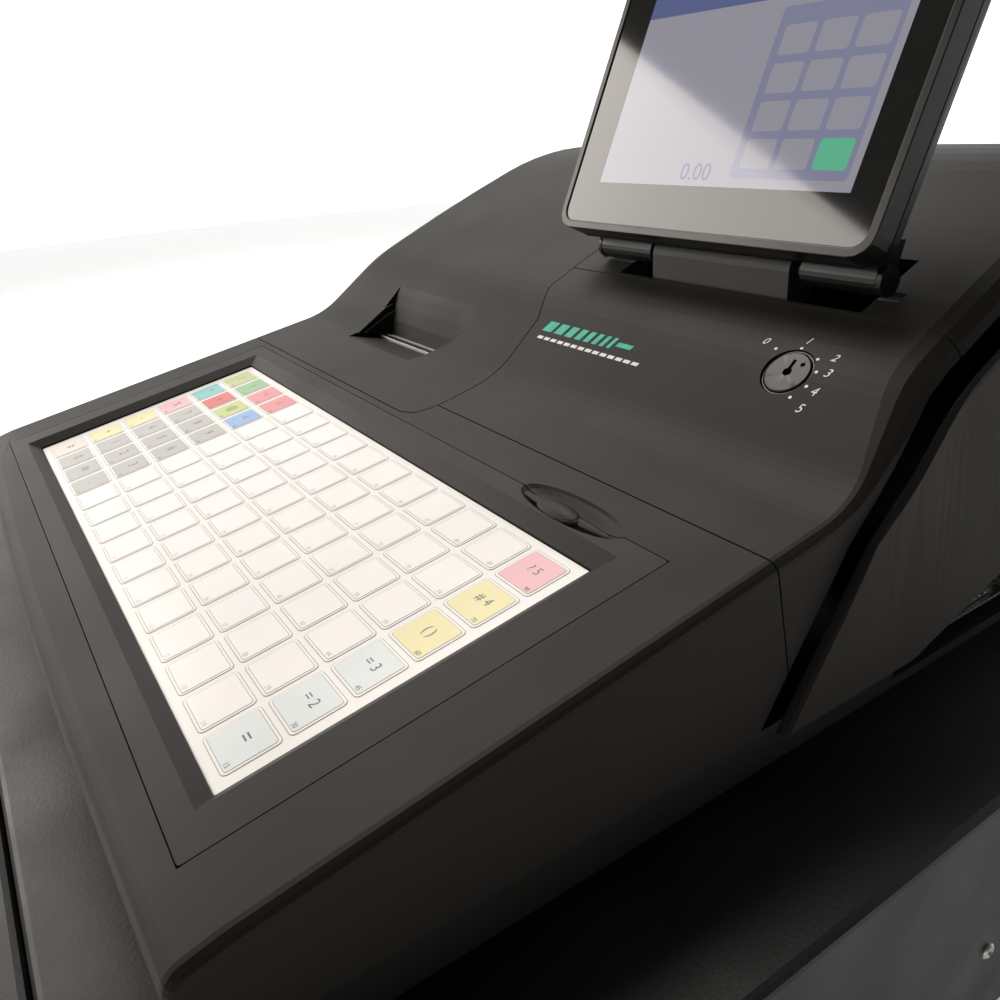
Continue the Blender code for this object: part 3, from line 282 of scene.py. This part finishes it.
class Build:
    """A mesh in millimetres, in one frame, with a material for each face."""

    def __init__(self, name, place=register_frame):
        self.name = name
        self.place = place
        self.bm = bmesh.new()
        self.slots = []

    def slot(self, material):
        if material not in self.slots:
            self.slots.append(material)
        return self.slots.index(material)

    def face(self, points, material):
        made = self.bm.faces.new([self.bm.verts.new(p) for p in points])
        made.material_index = self.slot(material)
        return made

    def plate(self, outline, low, high, material):
        """An (x, y) outline as a closed plate between two heights."""
        index = self.slot(material)
        bottom = [self.bm.verts.new((x, y, low)) for x, y in outline]
        top = [self.bm.verts.new((x, y, high)) for x, y in outline]
        faces = [self.bm.faces.new(top), self.bm.faces.new(bottom[::-1])]
        for k in range(len(outline)):
            n = (k + 1) % len(outline)
            faces.append(self.bm.faces.new((bottom[k], bottom[n], top[n], top[k])))
        for f in faces:
            f.material_index = index

    def ring(self, outer, inner, height, material):
        """A flat band between two outlines of equal length."""
        index = self.slot(material)
        a = [self.bm.verts.new((x, y, height)) for x, y in outer]
        b = [self.bm.verts.new((x, y, height)) for x, y in inner]
        for k in range(len(a)):
            n = (k + 1) % len(a)
            self.bm.faces.new((a[k], a[n], b[n], b[k])).material_index = index

    def block(self, low, high, material, bevel=0.0):
        index = self.slot(material)
        size = Vector(high) - Vector(low)
        middle = (Vector(high) + Vector(low)) / 2
        made = bmesh.ops.create_cube(
            self.bm, size=1.0, matrix=Matrix.Translation(middle) @ Matrix.Diagonal((*size, 1.0))
        )
        faces = {f for v in made["verts"] for f in v.link_faces}
        if bevel:
            edges = {e for v in made["verts"] for e in v.link_edges}
            done = bmesh.ops.bevel(
                self.bm, geom=list(edges), offset=bevel, segments=3, affect="EDGES", profile=0.5
            )
            faces = set(done["faces"]) | {f for f in faces if f.is_valid}
        for f in faces:
            f.material_index = index
            f.smooth = bevel > 0

    def turn(self, profile, place, material, sides=32):
        """A turned shape about +Z of the given place; profile lists (radius, height)."""
        index = self.slot(material)
        rows = []
        for radius, height in profile:
            if radius == 0:
                rows.append([self.bm.verts.new(place @ Vector((0, 0, height)))])
            else:
                rows.append([
                    self.bm.verts.new(place @ Vector((radius * math.cos(t), radius * math.sin(t), height)))
                    for t in (2 * math.pi * k / sides for k in range(sides))
                ])
        for first, second in zip(rows, rows[1:]):
            for k in range(sides):
                n = (k + 1) % sides
                a = [first[k], first[n]] if len(first) > 1 else [first[0]]
                b = [second[n], second[k]] if len(second) > 1 else [second[0]]
                if len(a) + len(b) > 2:
                    f = self.bm.faces.new(a + b)
                    f.material_index = index
                    f.smooth = True

    def done(self, body, replaces=(), slot=None, sharp=30.0, subdivide=0):
        bmesh.ops.recalc_face_normals(self.bm, faces=self.bm.faces)
        self.bm.transform(Matrix.Scale(MM, 4) @ self.place)
        mesh = bpy.data.meshes.new(self.name)
        self.bm.to_mesh(mesh)
        self.bm.free()
        for material in self.slots:
            mesh.materials.append(material)
        obj = bpy.data.objects.new(self.name, mesh)
        bpy.context.scene.collection.objects.link(obj)
        if sharp:
            mesh.set_sharp_from_angle(angle=math.radians(sharp))
        if subdivide:
            modifier = obj.modifiers.new("smooth", "SUBSURF")
            modifier.levels = modifier.render_levels = subdivide
        if replaces:
            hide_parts(*replaces)
        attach(obj, body)
        return obj


def rounded(x0, y0, x1, y1, radius, steps=4):
    points = []
    for cx, cy, start in ((x1 - radius, y1 - radius, 0), (x0 + radius, y1 - radius, 90),
                          (x0 + radius, y0 + radius, 180), (x1 - radius, y0 + radius, 270)):
        for k in range(steps + 1):
            a = math.radians(start + 90.0 * k / steps)
            points.append((cx + radius * math.cos(a), cy + radius * math.sin(a)))
    return points


def lettering(text, size, turn=0.0, slant=0.0):
    """Flat faces of a short run of digits or signs, centred on (0, 0): a list of point lists."""
    curve = bpy.data.curves.new("signs", "FONT")
    curve.body = text
    curve.size = size
    curve.align_x = "CENTER"
    curve.align_y = "CENTER"
    curve.shear = slant
    curve.resolution_u = 3
    holder = bpy.data.objects.new("signs", curve)
    bpy.context.scene.collection.objects.link(holder)
    bpy.context.view_layer.update()
    mesh = holder.to_mesh()
    rotation = Matrix.Rotation(turn, 3, "Z")
    shapes = [[tuple((rotation @ mesh.vertices[i].co)[:2]) for i in p.vertices] for p in mesh.polygons]
    holder.to_mesh_clear()
    bpy.data.objects.remove(holder)
    bpy.data.curves.remove(curve)
    return shapes


# ---------------------------------------------------------------- surfaces of the housing


def deck_height(y):
    return DECK_RISE / math.cos(KEY_TILT) + y * math.tan(KEY_TILT)


def top_line():
    """The housing's top line from the deck to the back, as in the CAD: (y, z) points."""
    y, z, h = -8.0, deck_height(-8.0), KEY_TILT
    points = [(y, z)]

    def line(length):
        nonlocal y, z
        y, z = y + length * math.cos(h), z + length * math.sin(h)
        points.append((y, z))

    def arc(radius, end_degrees, steps):
        nonlocal y, z, h
        end = math.radians(end_degrees)
        side = 1.0 if end > h else -1.0
        cy, cz = y - side * radius * math.sin(h), z + side * radius * math.cos(h)
        start = h
        for k in range(1, steps + 1):
            h = start + (end - start) * k / steps
            y, z = cy + side * radius * math.sin(h), cz - side * radius * math.cos(h)
            points.append((y, z))

    line((143.0 + 8.0) / math.cos(KEY_TILT))
    arc(36.0, 41.0, 7)
    line(20.0)
    arc(60.0, 24.0, 4)
    line(8.0)
    arc(1100.0, 20.0, 3)
    arc(130.0, 0.0, 5)
    return points


TOP = top_line()


def on_top(y, lift=0.0):
    """The point of the top line at depth y, moved outwards by lift, and its slope."""
    for (y0, z0), (y1, z1) in zip(TOP, TOP[1:]):
        if y0 <= y <= y1:
            slope = math.atan2(z1 - z0, y1 - y0)
            z = z0 + (z1 - z0) * (y - y0) / (y1 - y0)
            return y - lift * math.sin(slope), z + lift * math.cos(slope), slope
    raise ValueError("off the top line")


def drape(build, shapes, middle, lift, material):
    """Lays flat (x, y) shapes on the housing's top around a point (x, y), measured along its slope there."""
    index = build.slot(material)
    _, _, slope = on_top(middle[1])
    for shape in shapes:
        verts = []
        for x, y in shape:
            py, pz, _ = on_top(middle[1] + y * math.cos(slope), lift)
            verts.append(build.bm.verts.new((middle[0] + x, py, pz)))
        build.bm.faces.new(verts).material_index = index


# ---------------------------------------------------------------- pieces


def paint_nodes(m):
    """Gives each CAD node its procedural material, soft edges and smooth shading."""
    looks = {
        "deck_cover": "case", "main_cover": "case", "rear_cover": "case", "printer_cover": "case",
        "rear_housing": "case", "base_pan": "pan", "key_frame": "key_rim", "display_frame": "display_rim",
        "display_shell": "black", "display_glass": "glass", "lcd_panel": "white_plastic",
        # display_shell takes the darkest black partly as painted shade: black plastic, darkened further for
        # the shadowed pocket under the display head
        "display_board": "board", "customer_display": "window", "display_stand": "neck", "tilt_pin": "black",
        "mode_lock_barrel": "lock_ring", "mode_lock_cylinder": "lock_core", "port_panel": "black",
        "serial_port_front": "nickel", "serial_port_rear": "nickel", "mains_inlet": "black",
        "main_board": "board", "power_supply": "steel", "speaker": "black", "keyboard_plate": "steel",
        "membrane_switches": "grey", "key_sheet": "ink_base", "clear_sheet": "ink_base",
        "printer_frame": "steel", "print_head": "steel", "paper_cradle": "black", "receipt_paper": "paper",
        "paper_roll": "paper", "platen_roller": "rubber", "platen_gear": "white_plastic",
        "idler_gear": "white_plastic", "motor_pinion": "white_plastic", "feed_motor": "steel",
        "drawer_case": "coat", "drawer_fascia": "coat", "drawer_tray": "coat", "note_tray": "tray",
        "coin_tray": "tray", "drawer_lock_barrel": "nickel", "drawer_lock_cylinder": "nickel",
        "release_solenoid": "steel", "latch_hook": "steel", "slide_channel_left": "steel",
        "slide_channel_right": "steel", "slide_roller_left": "white_plastic",
        "slide_roller_right": "white_plastic",
        "drawer_foot_front_left": "rubber", "drawer_foot_front_right": "rubber",
        "drawer_foot_rear_left": "rubber", "drawer_foot_rear_right": "rubber",
        "note_clip_1": "steel", "note_clip_2": "steel", "note_clip_3": "steel", "note_clip_4": "steel",
    }
    edges = {
        "deck_cover": 0.45, "main_cover": 0.45, "rear_cover": 0.45, "printer_cover": 0.45,
        "rear_housing": 0.6, "base_pan": 0.5, "key_frame": 0.5, "drawer_tray": 0.4, "note_tray": 0.6,
        "coin_tray": 0.6, "display_stand": 0.4, "latch_hook": 0.3, "mode_lock_cylinder": 0.12,
        "mode_lock_barrel": 0.12, "slide_channel_left": 0.3, "slide_channel_right": 0.3, "paper_cradle": 0.5,
        "main_board": 0.1, "port_panel": 0.2, "printer_frame": 0.2,
    }
    for name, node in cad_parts.items():
        look = m[looks[name]]
        node.data.materials.clear()
        node.data.materials.append(look)
        width = edges.get(name, 0.0)
        if width:
            weld = node.modifiers.new("weld", "WELD")
            weld.merge_threshold = 0.00001
            bevel = node.modifiers.new("edges", "BEVEL")
            bevel.width = width * MM
            bevel.segments = 2
            bevel.limit_method = "ANGLE"
            bevel.angle_limit = math.radians(42)
        if look in (m["case"], m["key_rim"], m["display_rim"], m["coat"], m["pan"]):
            even = node.modifiers.new("even_shading", "WEIGHTED_NORMAL")
            even.keep_sharp = True


def key_colours():
    """Which ink each key of the 15 x 6 grid is printed in; row 0 is nearest the cashier."""
    inks = {(c, r): "ink_cell" for c in range(KEY_COLUMNS) for r in range(KEY_ROWS)}
    for c in (1, 2, 3):
        for r in (0, 1, 2, 3):
            inks[c, r] = "ink_grey"
    inks.update({
        (0, 0): "ink_cream", (0, 1): "ink_yellow", (0, 2): "ink_yellow", (0, 3): "ink_pink",
        (0, 4): "ink_teal", (0, 5): "ink_olive", (1, 4): "ink_red", (2, 4): "ink_lime",
        (3, 4): "ink_sky", (1, 5): "ink_green", (2, 5): "ink_rose", (3, 5): "ink_rose",
        (14, 0): "ink_blue", (14, 1): "ink_blue", (14, 2): "ink_blue", (14, 3): "ink_yellow",
        (14, 4): "ink_yellow", (14, 5): "ink_pink",
    })
    return inks


def key_legends():
    """Plain digits and signs for the function keys."""
    pad = (("0", "00", "."), ("1", "2", "3"), ("4", "5", "6"), ("7", "8", "9"))
    signs = {(1 + c, r): pad[r][c] for r in range(4) for c in range(3)}
    signs.update({(0, 0): "#", (0, 1): "+", (0, 2): "-", (0, 3): "%", (0, 4): "*", (0, 5): "/",
                  (1, 4): "x", (2, 4): "@", (3, 4): "<", (1, 5): ">", (2, 5): "+1", (3, 5): "-1",
                  (14, 0): "=", (14, 1): "= 2", (14, 2): "= 3", (14, 3): "( )", (14, 4): "# 4",
                  (14, 5): "? 5"})
    return signs


def make_key_sheet(m):
    """The printed key sheet: cells with double outlines, index numbers and signs, under a clear laminate."""
    half, depth = SHEET[0] / 2 - 0.3, SHEET[1] - 0.3
    sheet = Build("printed_key_sheet", key_frame)
    sheet.plate(rounded(-half, 0.3, half, depth, 1.0), -1.0, -0.30, m["ink_base"])
    left, front = -SHEET[0] / 2 + 3.6, 2.2
    pitch_x, pitch_y = (SHEET[0] - 7.2) / KEY_COLUMNS, (SHEET[1] - 4.4) / KEY_ROWS
    inks, signs = key_colours(), key_legends()
    index = 0
    for r in range(KEY_ROWS):
        for c in range(KEY_COLUMNS):
            index += 1
            x0, y0 = left + c * pitch_x + 0.75, front + r * pitch_y + 0.75
            x1, y1 = x0 + pitch_x - 1.5, y0 + pitch_y - 1.5
            outer = rounded(x0, y0, x1, y1, 1.5)
            sheet.plate(outer, -0.30, -0.22, m["ink_line"])
            gap = rounded(x0 + 0.16, y0 + 0.16, x1 - 0.16, y1 - 0.16, 1.36)
            sheet.plate(gap, -0.22, -0.18, m["ink_base"])
            inner = rounded(x0 + 0.80, y0 + 0.80, x1 - 0.80, y1 - 0.80, 0.85)
            sheet.plate(inner, -0.18, -0.15, m["ink_line"])
            ink = inks[c, r]
            sheet.plate(rounded(x0 + 0.93, y0 + 0.93, x1 - 0.93, y1 - 0.93, 0.74), -0.15, -0.11, m[ink])
            pale = ink == "ink_cell"
            for shape in lettering(str(index), 1.9):
                moved = [(x + x1 - 2.9, y + y0 + 1.95, -0.08) for x, y in shape]
                sheet.face(moved, m["ink_pale" if pale else "ink_text"])
            text = signs.get((c, r))
            if text:
                size = 5.4 if len(text) < 2 else 4.2
                for shape in lettering(text, size):
                    moved = [(x + (x0 + x1) / 2, y + (y0 + y1) / 2 + 0.9, -0.08) for x, y in shape]
                    sheet.face(moved, m["ink_text"])
    sheet.done("register", ("key_sheet", "clear_sheet"), "key_sheet", sharp=0)


def make_marks(m):
    """White marks round the mode lock, and a plain striped badge on the main cover."""
    marks = Build("mode_lock_marks")
    dots = ((-8.6, 6.7), (-0.9, 8.9), (6.4, 6.2), (8.8, 1.9), (8.9, -3.1), (6.4, -7.4))
    labels = ((-13.8, 8.7), (-0.8, 12.4), (10.9, 7.9), (12.2, 2.3), (12.0, -4.1), (11.2, -9.8))
    for x, y in dots:
        disc = [(x + 0.52 * math.cos(2 * math.pi * k / 12), y + 0.52 * math.sin(2 * math.pi * k / 12))
                for k in range(12)]
        drape(marks, [disc], LOCK, MARK_LIFT, m["mark_white"])
    for number, (x, y) in enumerate(labels):
        shapes = lettering(str(number), 4.0, slant=0.25)
        moved = [[(px + x, py + y) for px, py in s] for s in shapes]
        drape(marks, moved, LOCK, MARK_LIFT, m["mark_white"])
    marks.done("register", sharp=0)

    badge = Build("striped_badge")
    start, end, base = 13.0, 71.0, 170.8
    x = start
    widths = (5.4, 4.6, 3.9, 3.3, 2.8, 2.4, 2.0, 1.7)
    for width in widths:  # slanted teal bars that thin out to the right
        bar = [(x, 0.0), (x + width, 0.0), (x + width + 1.7, 4.6), (x + 1.7, 4.6)]
        drape(badge, strips(bar, 3), (0.0, base), MARK_LIFT, m["mark_teal"])
        x += width + 1.9
    low, high = x + 0.4, x + 8.0
    bar = [(low, 1.4), (high, 1.4), (high + 0.7, 3.2), (low + 0.7, 3.2)]
    drape(badge, strips(bar, 2), (0.0, base), MARK_LIFT, m["mark_teal"])
    for k in range(14):  # a broken white line below
        low = start + k * (end - start) / 14
        bar = [(low, -3.6), (low + 3.1, -3.6), (low + 3.5, -2.3), (low + 0.4, -2.3)]
        drape(badge, [bar], (0.0, base), MARK_LIFT, m["mark_white"])
    badge.done("register", sharp=0)


def strips(quad, count):
    """Cuts a four-point shape across its second side, so that it can follow a curved surface."""
    (ax, ay), (bx, by), (cx, cy), (dx, dy) = quad
    pieces = []
    for k in range(count):
        s, t = k / count, (k + 1) / count
        pieces.append([(ax + (dx - ax) * s, ay + (dy - ay) * s), (bx + (cx - bx) * s, by + (cy - by) * s),
                       (bx + (cx - bx) * t, by + (cy - by) * t), (ax + (dx - ax) * t, ay + (dy - ay) * t)])
    return pieces


def make_display(m):
    """The lit screen with a plain sales layout, under the head's glass."""
    left, right, foot, top = -52.0, 56.0, 17.5, 82.5
    paper_white = lit("screen_white", (0.86, 0.84, 0.98), 0.30)
    lavender = lit("screen_lavender", (0.58, 0.60, 0.90), 0.32)
    deep = lit("screen_deep", (0.16, 0.20, 0.46), 0.5)
    grey = lit("screen_grey", (0.50, 0.50, 0.62), 0.5)
    green = lit("screen_green", (0.12, 0.50, 0.30), 0.8)
    screen = Build("screen_image", display_frame)

    def panel(x0, y0, x1, y1, material, layer, radius=0.0):
        height = SCREEN_HEIGHT + SCREEN_LAYER * layer
        shape = rounded(x0, y0, x1, y1, radius) if radius else [(x0, y0), (x1, y0), (x1, y1), (x0, y1)]
        screen.face([(x, y, height) for x, y in shape], material)

    panel(left, foot, right, top, paper_white, 0)
    panel(left, top - 7.0, right, top, deep, 1)
    panel(left, foot, right, foot + 0.5, grey, 1)
    panel(left + 62.0, foot + 3.0, right - 2.5, top - 10.0, lavender, 1, 1.5)
    for row in range(7):
        y = top - 13.5 - row * 6.2
        panel(left + 3.0, y, left + 34.0 - 3.0 * (row % 3), y + 1.5, grey, 1)
        panel(left + 48.0, y, left + 58.0, y + 1.5, grey, 1)
    panel(left + 3.0, foot + 9.0, left + 59.0, foot + 9.5, grey, 1)
    for column in range(3):
        for row in range(4):
            x, y = left + 65.0 + column * 13.6, foot + 6.0 + row * 11.4
            panel(x, y, x + 11.6, y + 9.0, green if (column, row) == (2, 0) else paper_white, 2, 1.2)
    for text, size, x, y, material, layer in (("0.00", 8.0, left + 47.0, foot + 4.4, deep, 2),
                                              ("12:30", 3.6, right - 8.0, top - 3.6, paper_white, 2)):
        for shape in lettering(text, size):
            height = SCREEN_HEIGHT + SCREEN_LAYER * layer
            screen.face([(px + x, py + y, height) for px, py in shape], material)
    screen.done("display", slot="screen", sharp=0)

    window = Build("customer_window", display_frame)
    window.plate(rounded(-35.4, 44.6, 35.4, 65.4, 1.0), -23.6, -22.4, m["window"])
    window.done("display", sharp=0)
    digits = Build("customer_digits", display_frame)
    glow = lit("customer_glow", (0.20, 0.95, 0.60), 1.6)
    for shape in lettering("0.00", 15.0):
        digits.face([(-px, py + 55.0, -23.66) for px, py in shape][::-1], glow)
    digits.done("display", sharp=0)

    seam = Build("glass_edge_line", display_frame)
    half, high = 69.0, 96.0
    seam.ring(rounded(-half + 2.55, 2.55, half - 2.55, high - 2.55, 5.0),
              rounded(-half + 2.95, 2.95, half - 2.95, high - 2.95, 4.7), -0.46, m["black"])
    seam.done("display", sharp=0)


def thicken(obj, width):
    """Gives a sheet of faces a thickness in millimetres."""
    obj.modifiers.new("thick", "SOLIDIFY").thickness = width * MM


def make_chute(m):
    """The receipt at the slit, the serrated tear bar, and the paper guide in the chute's left corner."""
    low, high = -107.2, -49.8
    strip = Build("receipt_strip")
    rows = 10
    profile = []
    for k in range(rows + 1):
        t = k / rows
        profile.append((159.25 - 1.9 * t * t, 15.8 + 8.8 * t))
    columns = 48
    grid = []
    for k, (y, z) in enumerate(profile):
        row = []
        for c in range(columns + 1):
            x = low + (high - low) * c / columns
            tooth = 0.45 * (c % 2) if k == rows else 0.0
            row.append(strip.bm.verts.new((x, y - 0.12 * math.sin(math.pi * c / columns), z + tooth)))
        grid.append(row)
    index = strip.slot(m["paper"])
    for a, b in zip(grid, grid[1:]):
        for c in range(columns):
            f = strip.bm.faces.new((a[c], a[c + 1], b[c + 1], b[c]))
            f.material_index = index
            f.smooth = True
    obj = strip.done("register", ("receipt_paper",), "paper", sharp=0)
    thicken(obj, 0.12)

    bar = Build("tear_bar")
    teeth = 58
    x0, x1 = low - 0.3, high + 0.3
    index = bar.slot(m["steel"])
    base_y, base_z = 162.4, 23.1  # the lip of the cover above the slit
    for k in range(teeth):
        a, b = x0 + (x1 - x0) * k / teeth, x0 + (x1 - x0) * (k + 1) / teeth
        mid = (a + b) / 2
        points = [(a, base_y, base_z + 1.0), (b, base_y, base_z + 1.0), (b, base_y - 0.7, base_z + 0.9),
                  (mid, base_y - 1.5, base_z + 0.85), (a, base_y - 0.7, base_z + 0.9)]
        bar.bm.faces.new([bar.bm.verts.new(p) for p in points]).material_index = index
    obj = bar.done("printer_lid", sharp=0)
    thicken(obj, 0.5)

    guide = Build("paper_guide")
    index = guide.slot(m["case"])
    for x, reach in ((-108.7, 0.0), (-106.9, 3.0)):
        outline = [(146.0 + reach, 27.2), (160.6, 23.6), (167.2, 38.2 - reach), (162.6, 37.0 - reach)]
        near = [guide.bm.verts.new((x, y, z)) for y, z in outline]
        far = [guide.bm.verts.new((x + 1.1, y, z)) for y, z in outline]
        faces = [guide.bm.faces.new(near[::-1]), guide.bm.faces.new(far)]
        for k in range(4):
            n = (k + 1) % 4
            faces.append(guide.bm.faces.new((near[k], near[n], far[n], far[k])))
        for f in faces:
            f.material_index = index
    obj = guide.done("printer_lid")
    soft = obj.modifiers.new("edges", "BEVEL")
    soft.width = 0.0003
    soft.segments = 2


def make_ports(m):
    """Pins and jack posts of the two serial sockets, and the blades of the mains inlet."""
    ports = Build("socket_details")
    for y0 in (205.0, 242.0):
        ports.block((162.3, y0 + 5.0, -26.2), (164.2, y0 + 26.0, -17.8), m["black"], 0.3)
        for count, z in ((5, -20.6), (4, -23.4)):
            for k in range(count):
                y = y0 + 15.5 + (k - (count - 1) / 2) * 2.77
                spot = Matrix.Translation((164.0, y, z)) @ Matrix.Rotation(math.pi / 2, 4, "Y")
                ports.turn([(0.5, 0.0), (0.5, 1.2), (0.32, 1.5), (0, 1.6)], spot, m["nickel"], 10)
        for y in (y0 + 2.6, y0 + 28.4):
            spot = Matrix.Translation((162.2, y, -22.0)) @ Matrix.Rotation(math.pi / 2, 4, "Y")
            post = [(2.1, 0.0), (2.1, 4.6), (1.7, 5.0), (1.3, 5.0), (1.2, 3.6), (0, 3.6)]
            ports.turn(post, spot, m["nickel"], 6)
    for x, z in ((109.0, -4.0), (119.0, -4.0)):
        ports.block((x - 0.9, 321.5, z - 3.2), (x + 0.9, 331.0, z + 3.2), m["nickel"], 0.3)
    ports.done("register", slot="zinc_steel")


def screw(build, place, material, radius=3.0):
    """A cross-head machine screw with its head proud by 1.4 mm."""
    build.turn([(0, 0.55), (radius * 0.45, 0.6), (radius * 0.55, 1.25), (radius * 0.8, 1.15), (radius, 0.6),
                (radius, 0.0), (0, 0.0)], place, material, 24)
    for angle in (0.0, math.pi / 2):
        arm = place @ Matrix.Translation((0, 0, 0.62)) @ Matrix.Rotation(angle, 4, "Z")
        index = build.slot(material)
        w, l = radius * 0.12, radius * 0.44
        corners = [(-l, -w, 0), (l, -w, 0), (l, w, 0), (-l, w, 0)]
        build.bm.faces.new([build.bm.verts.new(arm @ Vector(c)) for c in corners]).material_index = index


def make_fixings(m):
    """Screws on the register's back and on the drawer case, and vent slots in the back as flat black faces:
    painted shade, no openings cut.
    """
    screws = Build("rear_screws")
    for x, z in ((-150, -14), (150, -14), (-150, 70), (138, 70), (-20, -14)):
        place = Matrix.Translation((x, 333.0, z)) @ Matrix.Rotation(-math.pi / 2, 4, "X")
        screw(screws, place, m["steel"])
    screws.done("register")
    # vent slots: flat black faces just off the back, painted shade standing in for the shadowed openings
    vent_shade = Build("rear_vent_shade_slots")
    for k in range(14):
        x = -96.0 + k * 8.0
        outline = rounded(x - 1.6, 6.0, x + 1.6, 46.0, 1.55, 5)
        index = vent_shade.slot(m["black"])
        corners = [vent_shade.bm.verts.new((px, 333.06, pz)) for px, pz in outline]
        vent_shade.bm.faces.new(corners).material_index = index
    vent_shade.done("register", sharp=0)
    case = Build("drawer_screws", Matrix.Identity(4))
    for side in (-1, 1):
        for y in (-150.0, 30.0, 175.0):
            place = Matrix.Translation((side * 205.0, y, 46.0)) @ Matrix.Rotation(side * math.pi / 2, 4, "Y")
            screw(case, place, m["steel"], 2.6)
    case.done("register")


def make_stage():
    """A pale floor that curves up into a round backdrop on the camera's far side."""
    bm = bmesh.new()
    inner, rise, height, steps = 2.6, 0.9, 2.5, 10
    profile = [(0.0, 0.0), (inner, 0.0)]
    for k in range(1, steps + 1):
        a = math.pi / 2 * k / steps
        profile.append((inner + rise * math.sin(a), rise * (1 - math.cos(a))))
    profile.append((inner + rise, height))
    rows = []
    for k in range(49):
        t = math.radians(60.0 + 180.0 * k / 48)
        rows.append([bm.verts.new((r * math.cos(t), r * math.sin(t), z)) for r, z in profile[1:]])
    for a, b in zip(rows, rows[1:]):
        for k in range(len(a) - 1):
            f = bm.faces.new((a[k], b[k], b[k + 1], a[k + 1]))
            f.smooth = True
            f.material_index = 1
    for k in range(97):
        t, u = (2 * math.pi * n / 97 for n in (k, k + 1))
        bm.faces.new([bm.verts.new(p) for p in ((0, 0, 0), (inner * math.cos(t), inner * math.sin(t), 0),
                                                (inner * math.cos(u), inner * math.sin(u), 0))])
    bmesh.ops.remove_doubles(bm, verts=bm.verts, dist=0.0005)
    bmesh.ops.recalc_face_normals(bm, faces=bm.faces)
    mesh = bpy.data.meshes.new("floor")
    bm.to_mesh(mesh)
    bm.free()
    floor = bpy.data.objects.new("floor", mesh)
    bpy.context.scene.collection.objects.link(floor)
    for name, glow in (("floor_paper", 0.30), ("backdrop_paper", 0.80)):
        made = Shader(name, (0.90, 0.90, 0.90), 0.75)
        made.mottle(2.0, 0.985, 1.01).wear(4.0, 0.7, 0.8)
        made.bsdf.inputs["Emission Color"].default_value = (1.0, 1.0, 1.0, 1.0)
        made.bsdf.inputs["Emission Strength"].default_value = glow
        floor.data.materials.append(made.material)


def add_light(name, place, aim, size, radiance, colour=(1.0, 1.0, 1.0)):
    """A soft box with level edges; its strength is given as radiance, so that size doesn't change it."""
    data = bpy.data.lights.new(name, "AREA")
    data.shape = "RECTANGLE"
    data.size, data.size_y = size
    data.energy = math.pi * size[0] * size[1] * radiance
    data.color = colour
    light = bpy.data.objects.new(name, data)
    bpy.context.scene.collection.objects.link(light)
    direction = Vector(aim) - Vector(place)
    light.matrix_world = Matrix.Translation(place) @ direction.to_track_quat("-Z", "Y").to_matrix().to_4x4()


def light_scene():
    world = bpy.data.worlds.new("studio")
    world.use_nodes = True
    sky = world.node_tree.nodes["Background"]
    sky.inputs["Color"].default_value = (1.0, 0.985, 0.96, 1.0)
    sky.inputs["Strength"].default_value = 0.09
    bpy.context.scene.world = world
    display_head = (0.07, 0.06, 0.27)
    add_light("key_soft", (-0.95, -0.72, 0.80), display_head, (1.0, 0.50), 6.0, (1.0, 0.93, 0.85))
    add_light("top_soft", (-0.75, 0.25, 1.55), (0.0, 0.0, 0.16), (1.0, 0.9), 6.6, (1.0, 0.96, 0.91))
    bpy.context.scene.view_settings.view_transform = "Standard"


add_camera()
materials = make_materials()
paint_nodes(materials)
make_key_sheet(materials)
make_marks(materials)
make_display(materials)
make_chute(materials)
make_ports(materials)
make_fixings(materials)
make_stage()
light_scene()
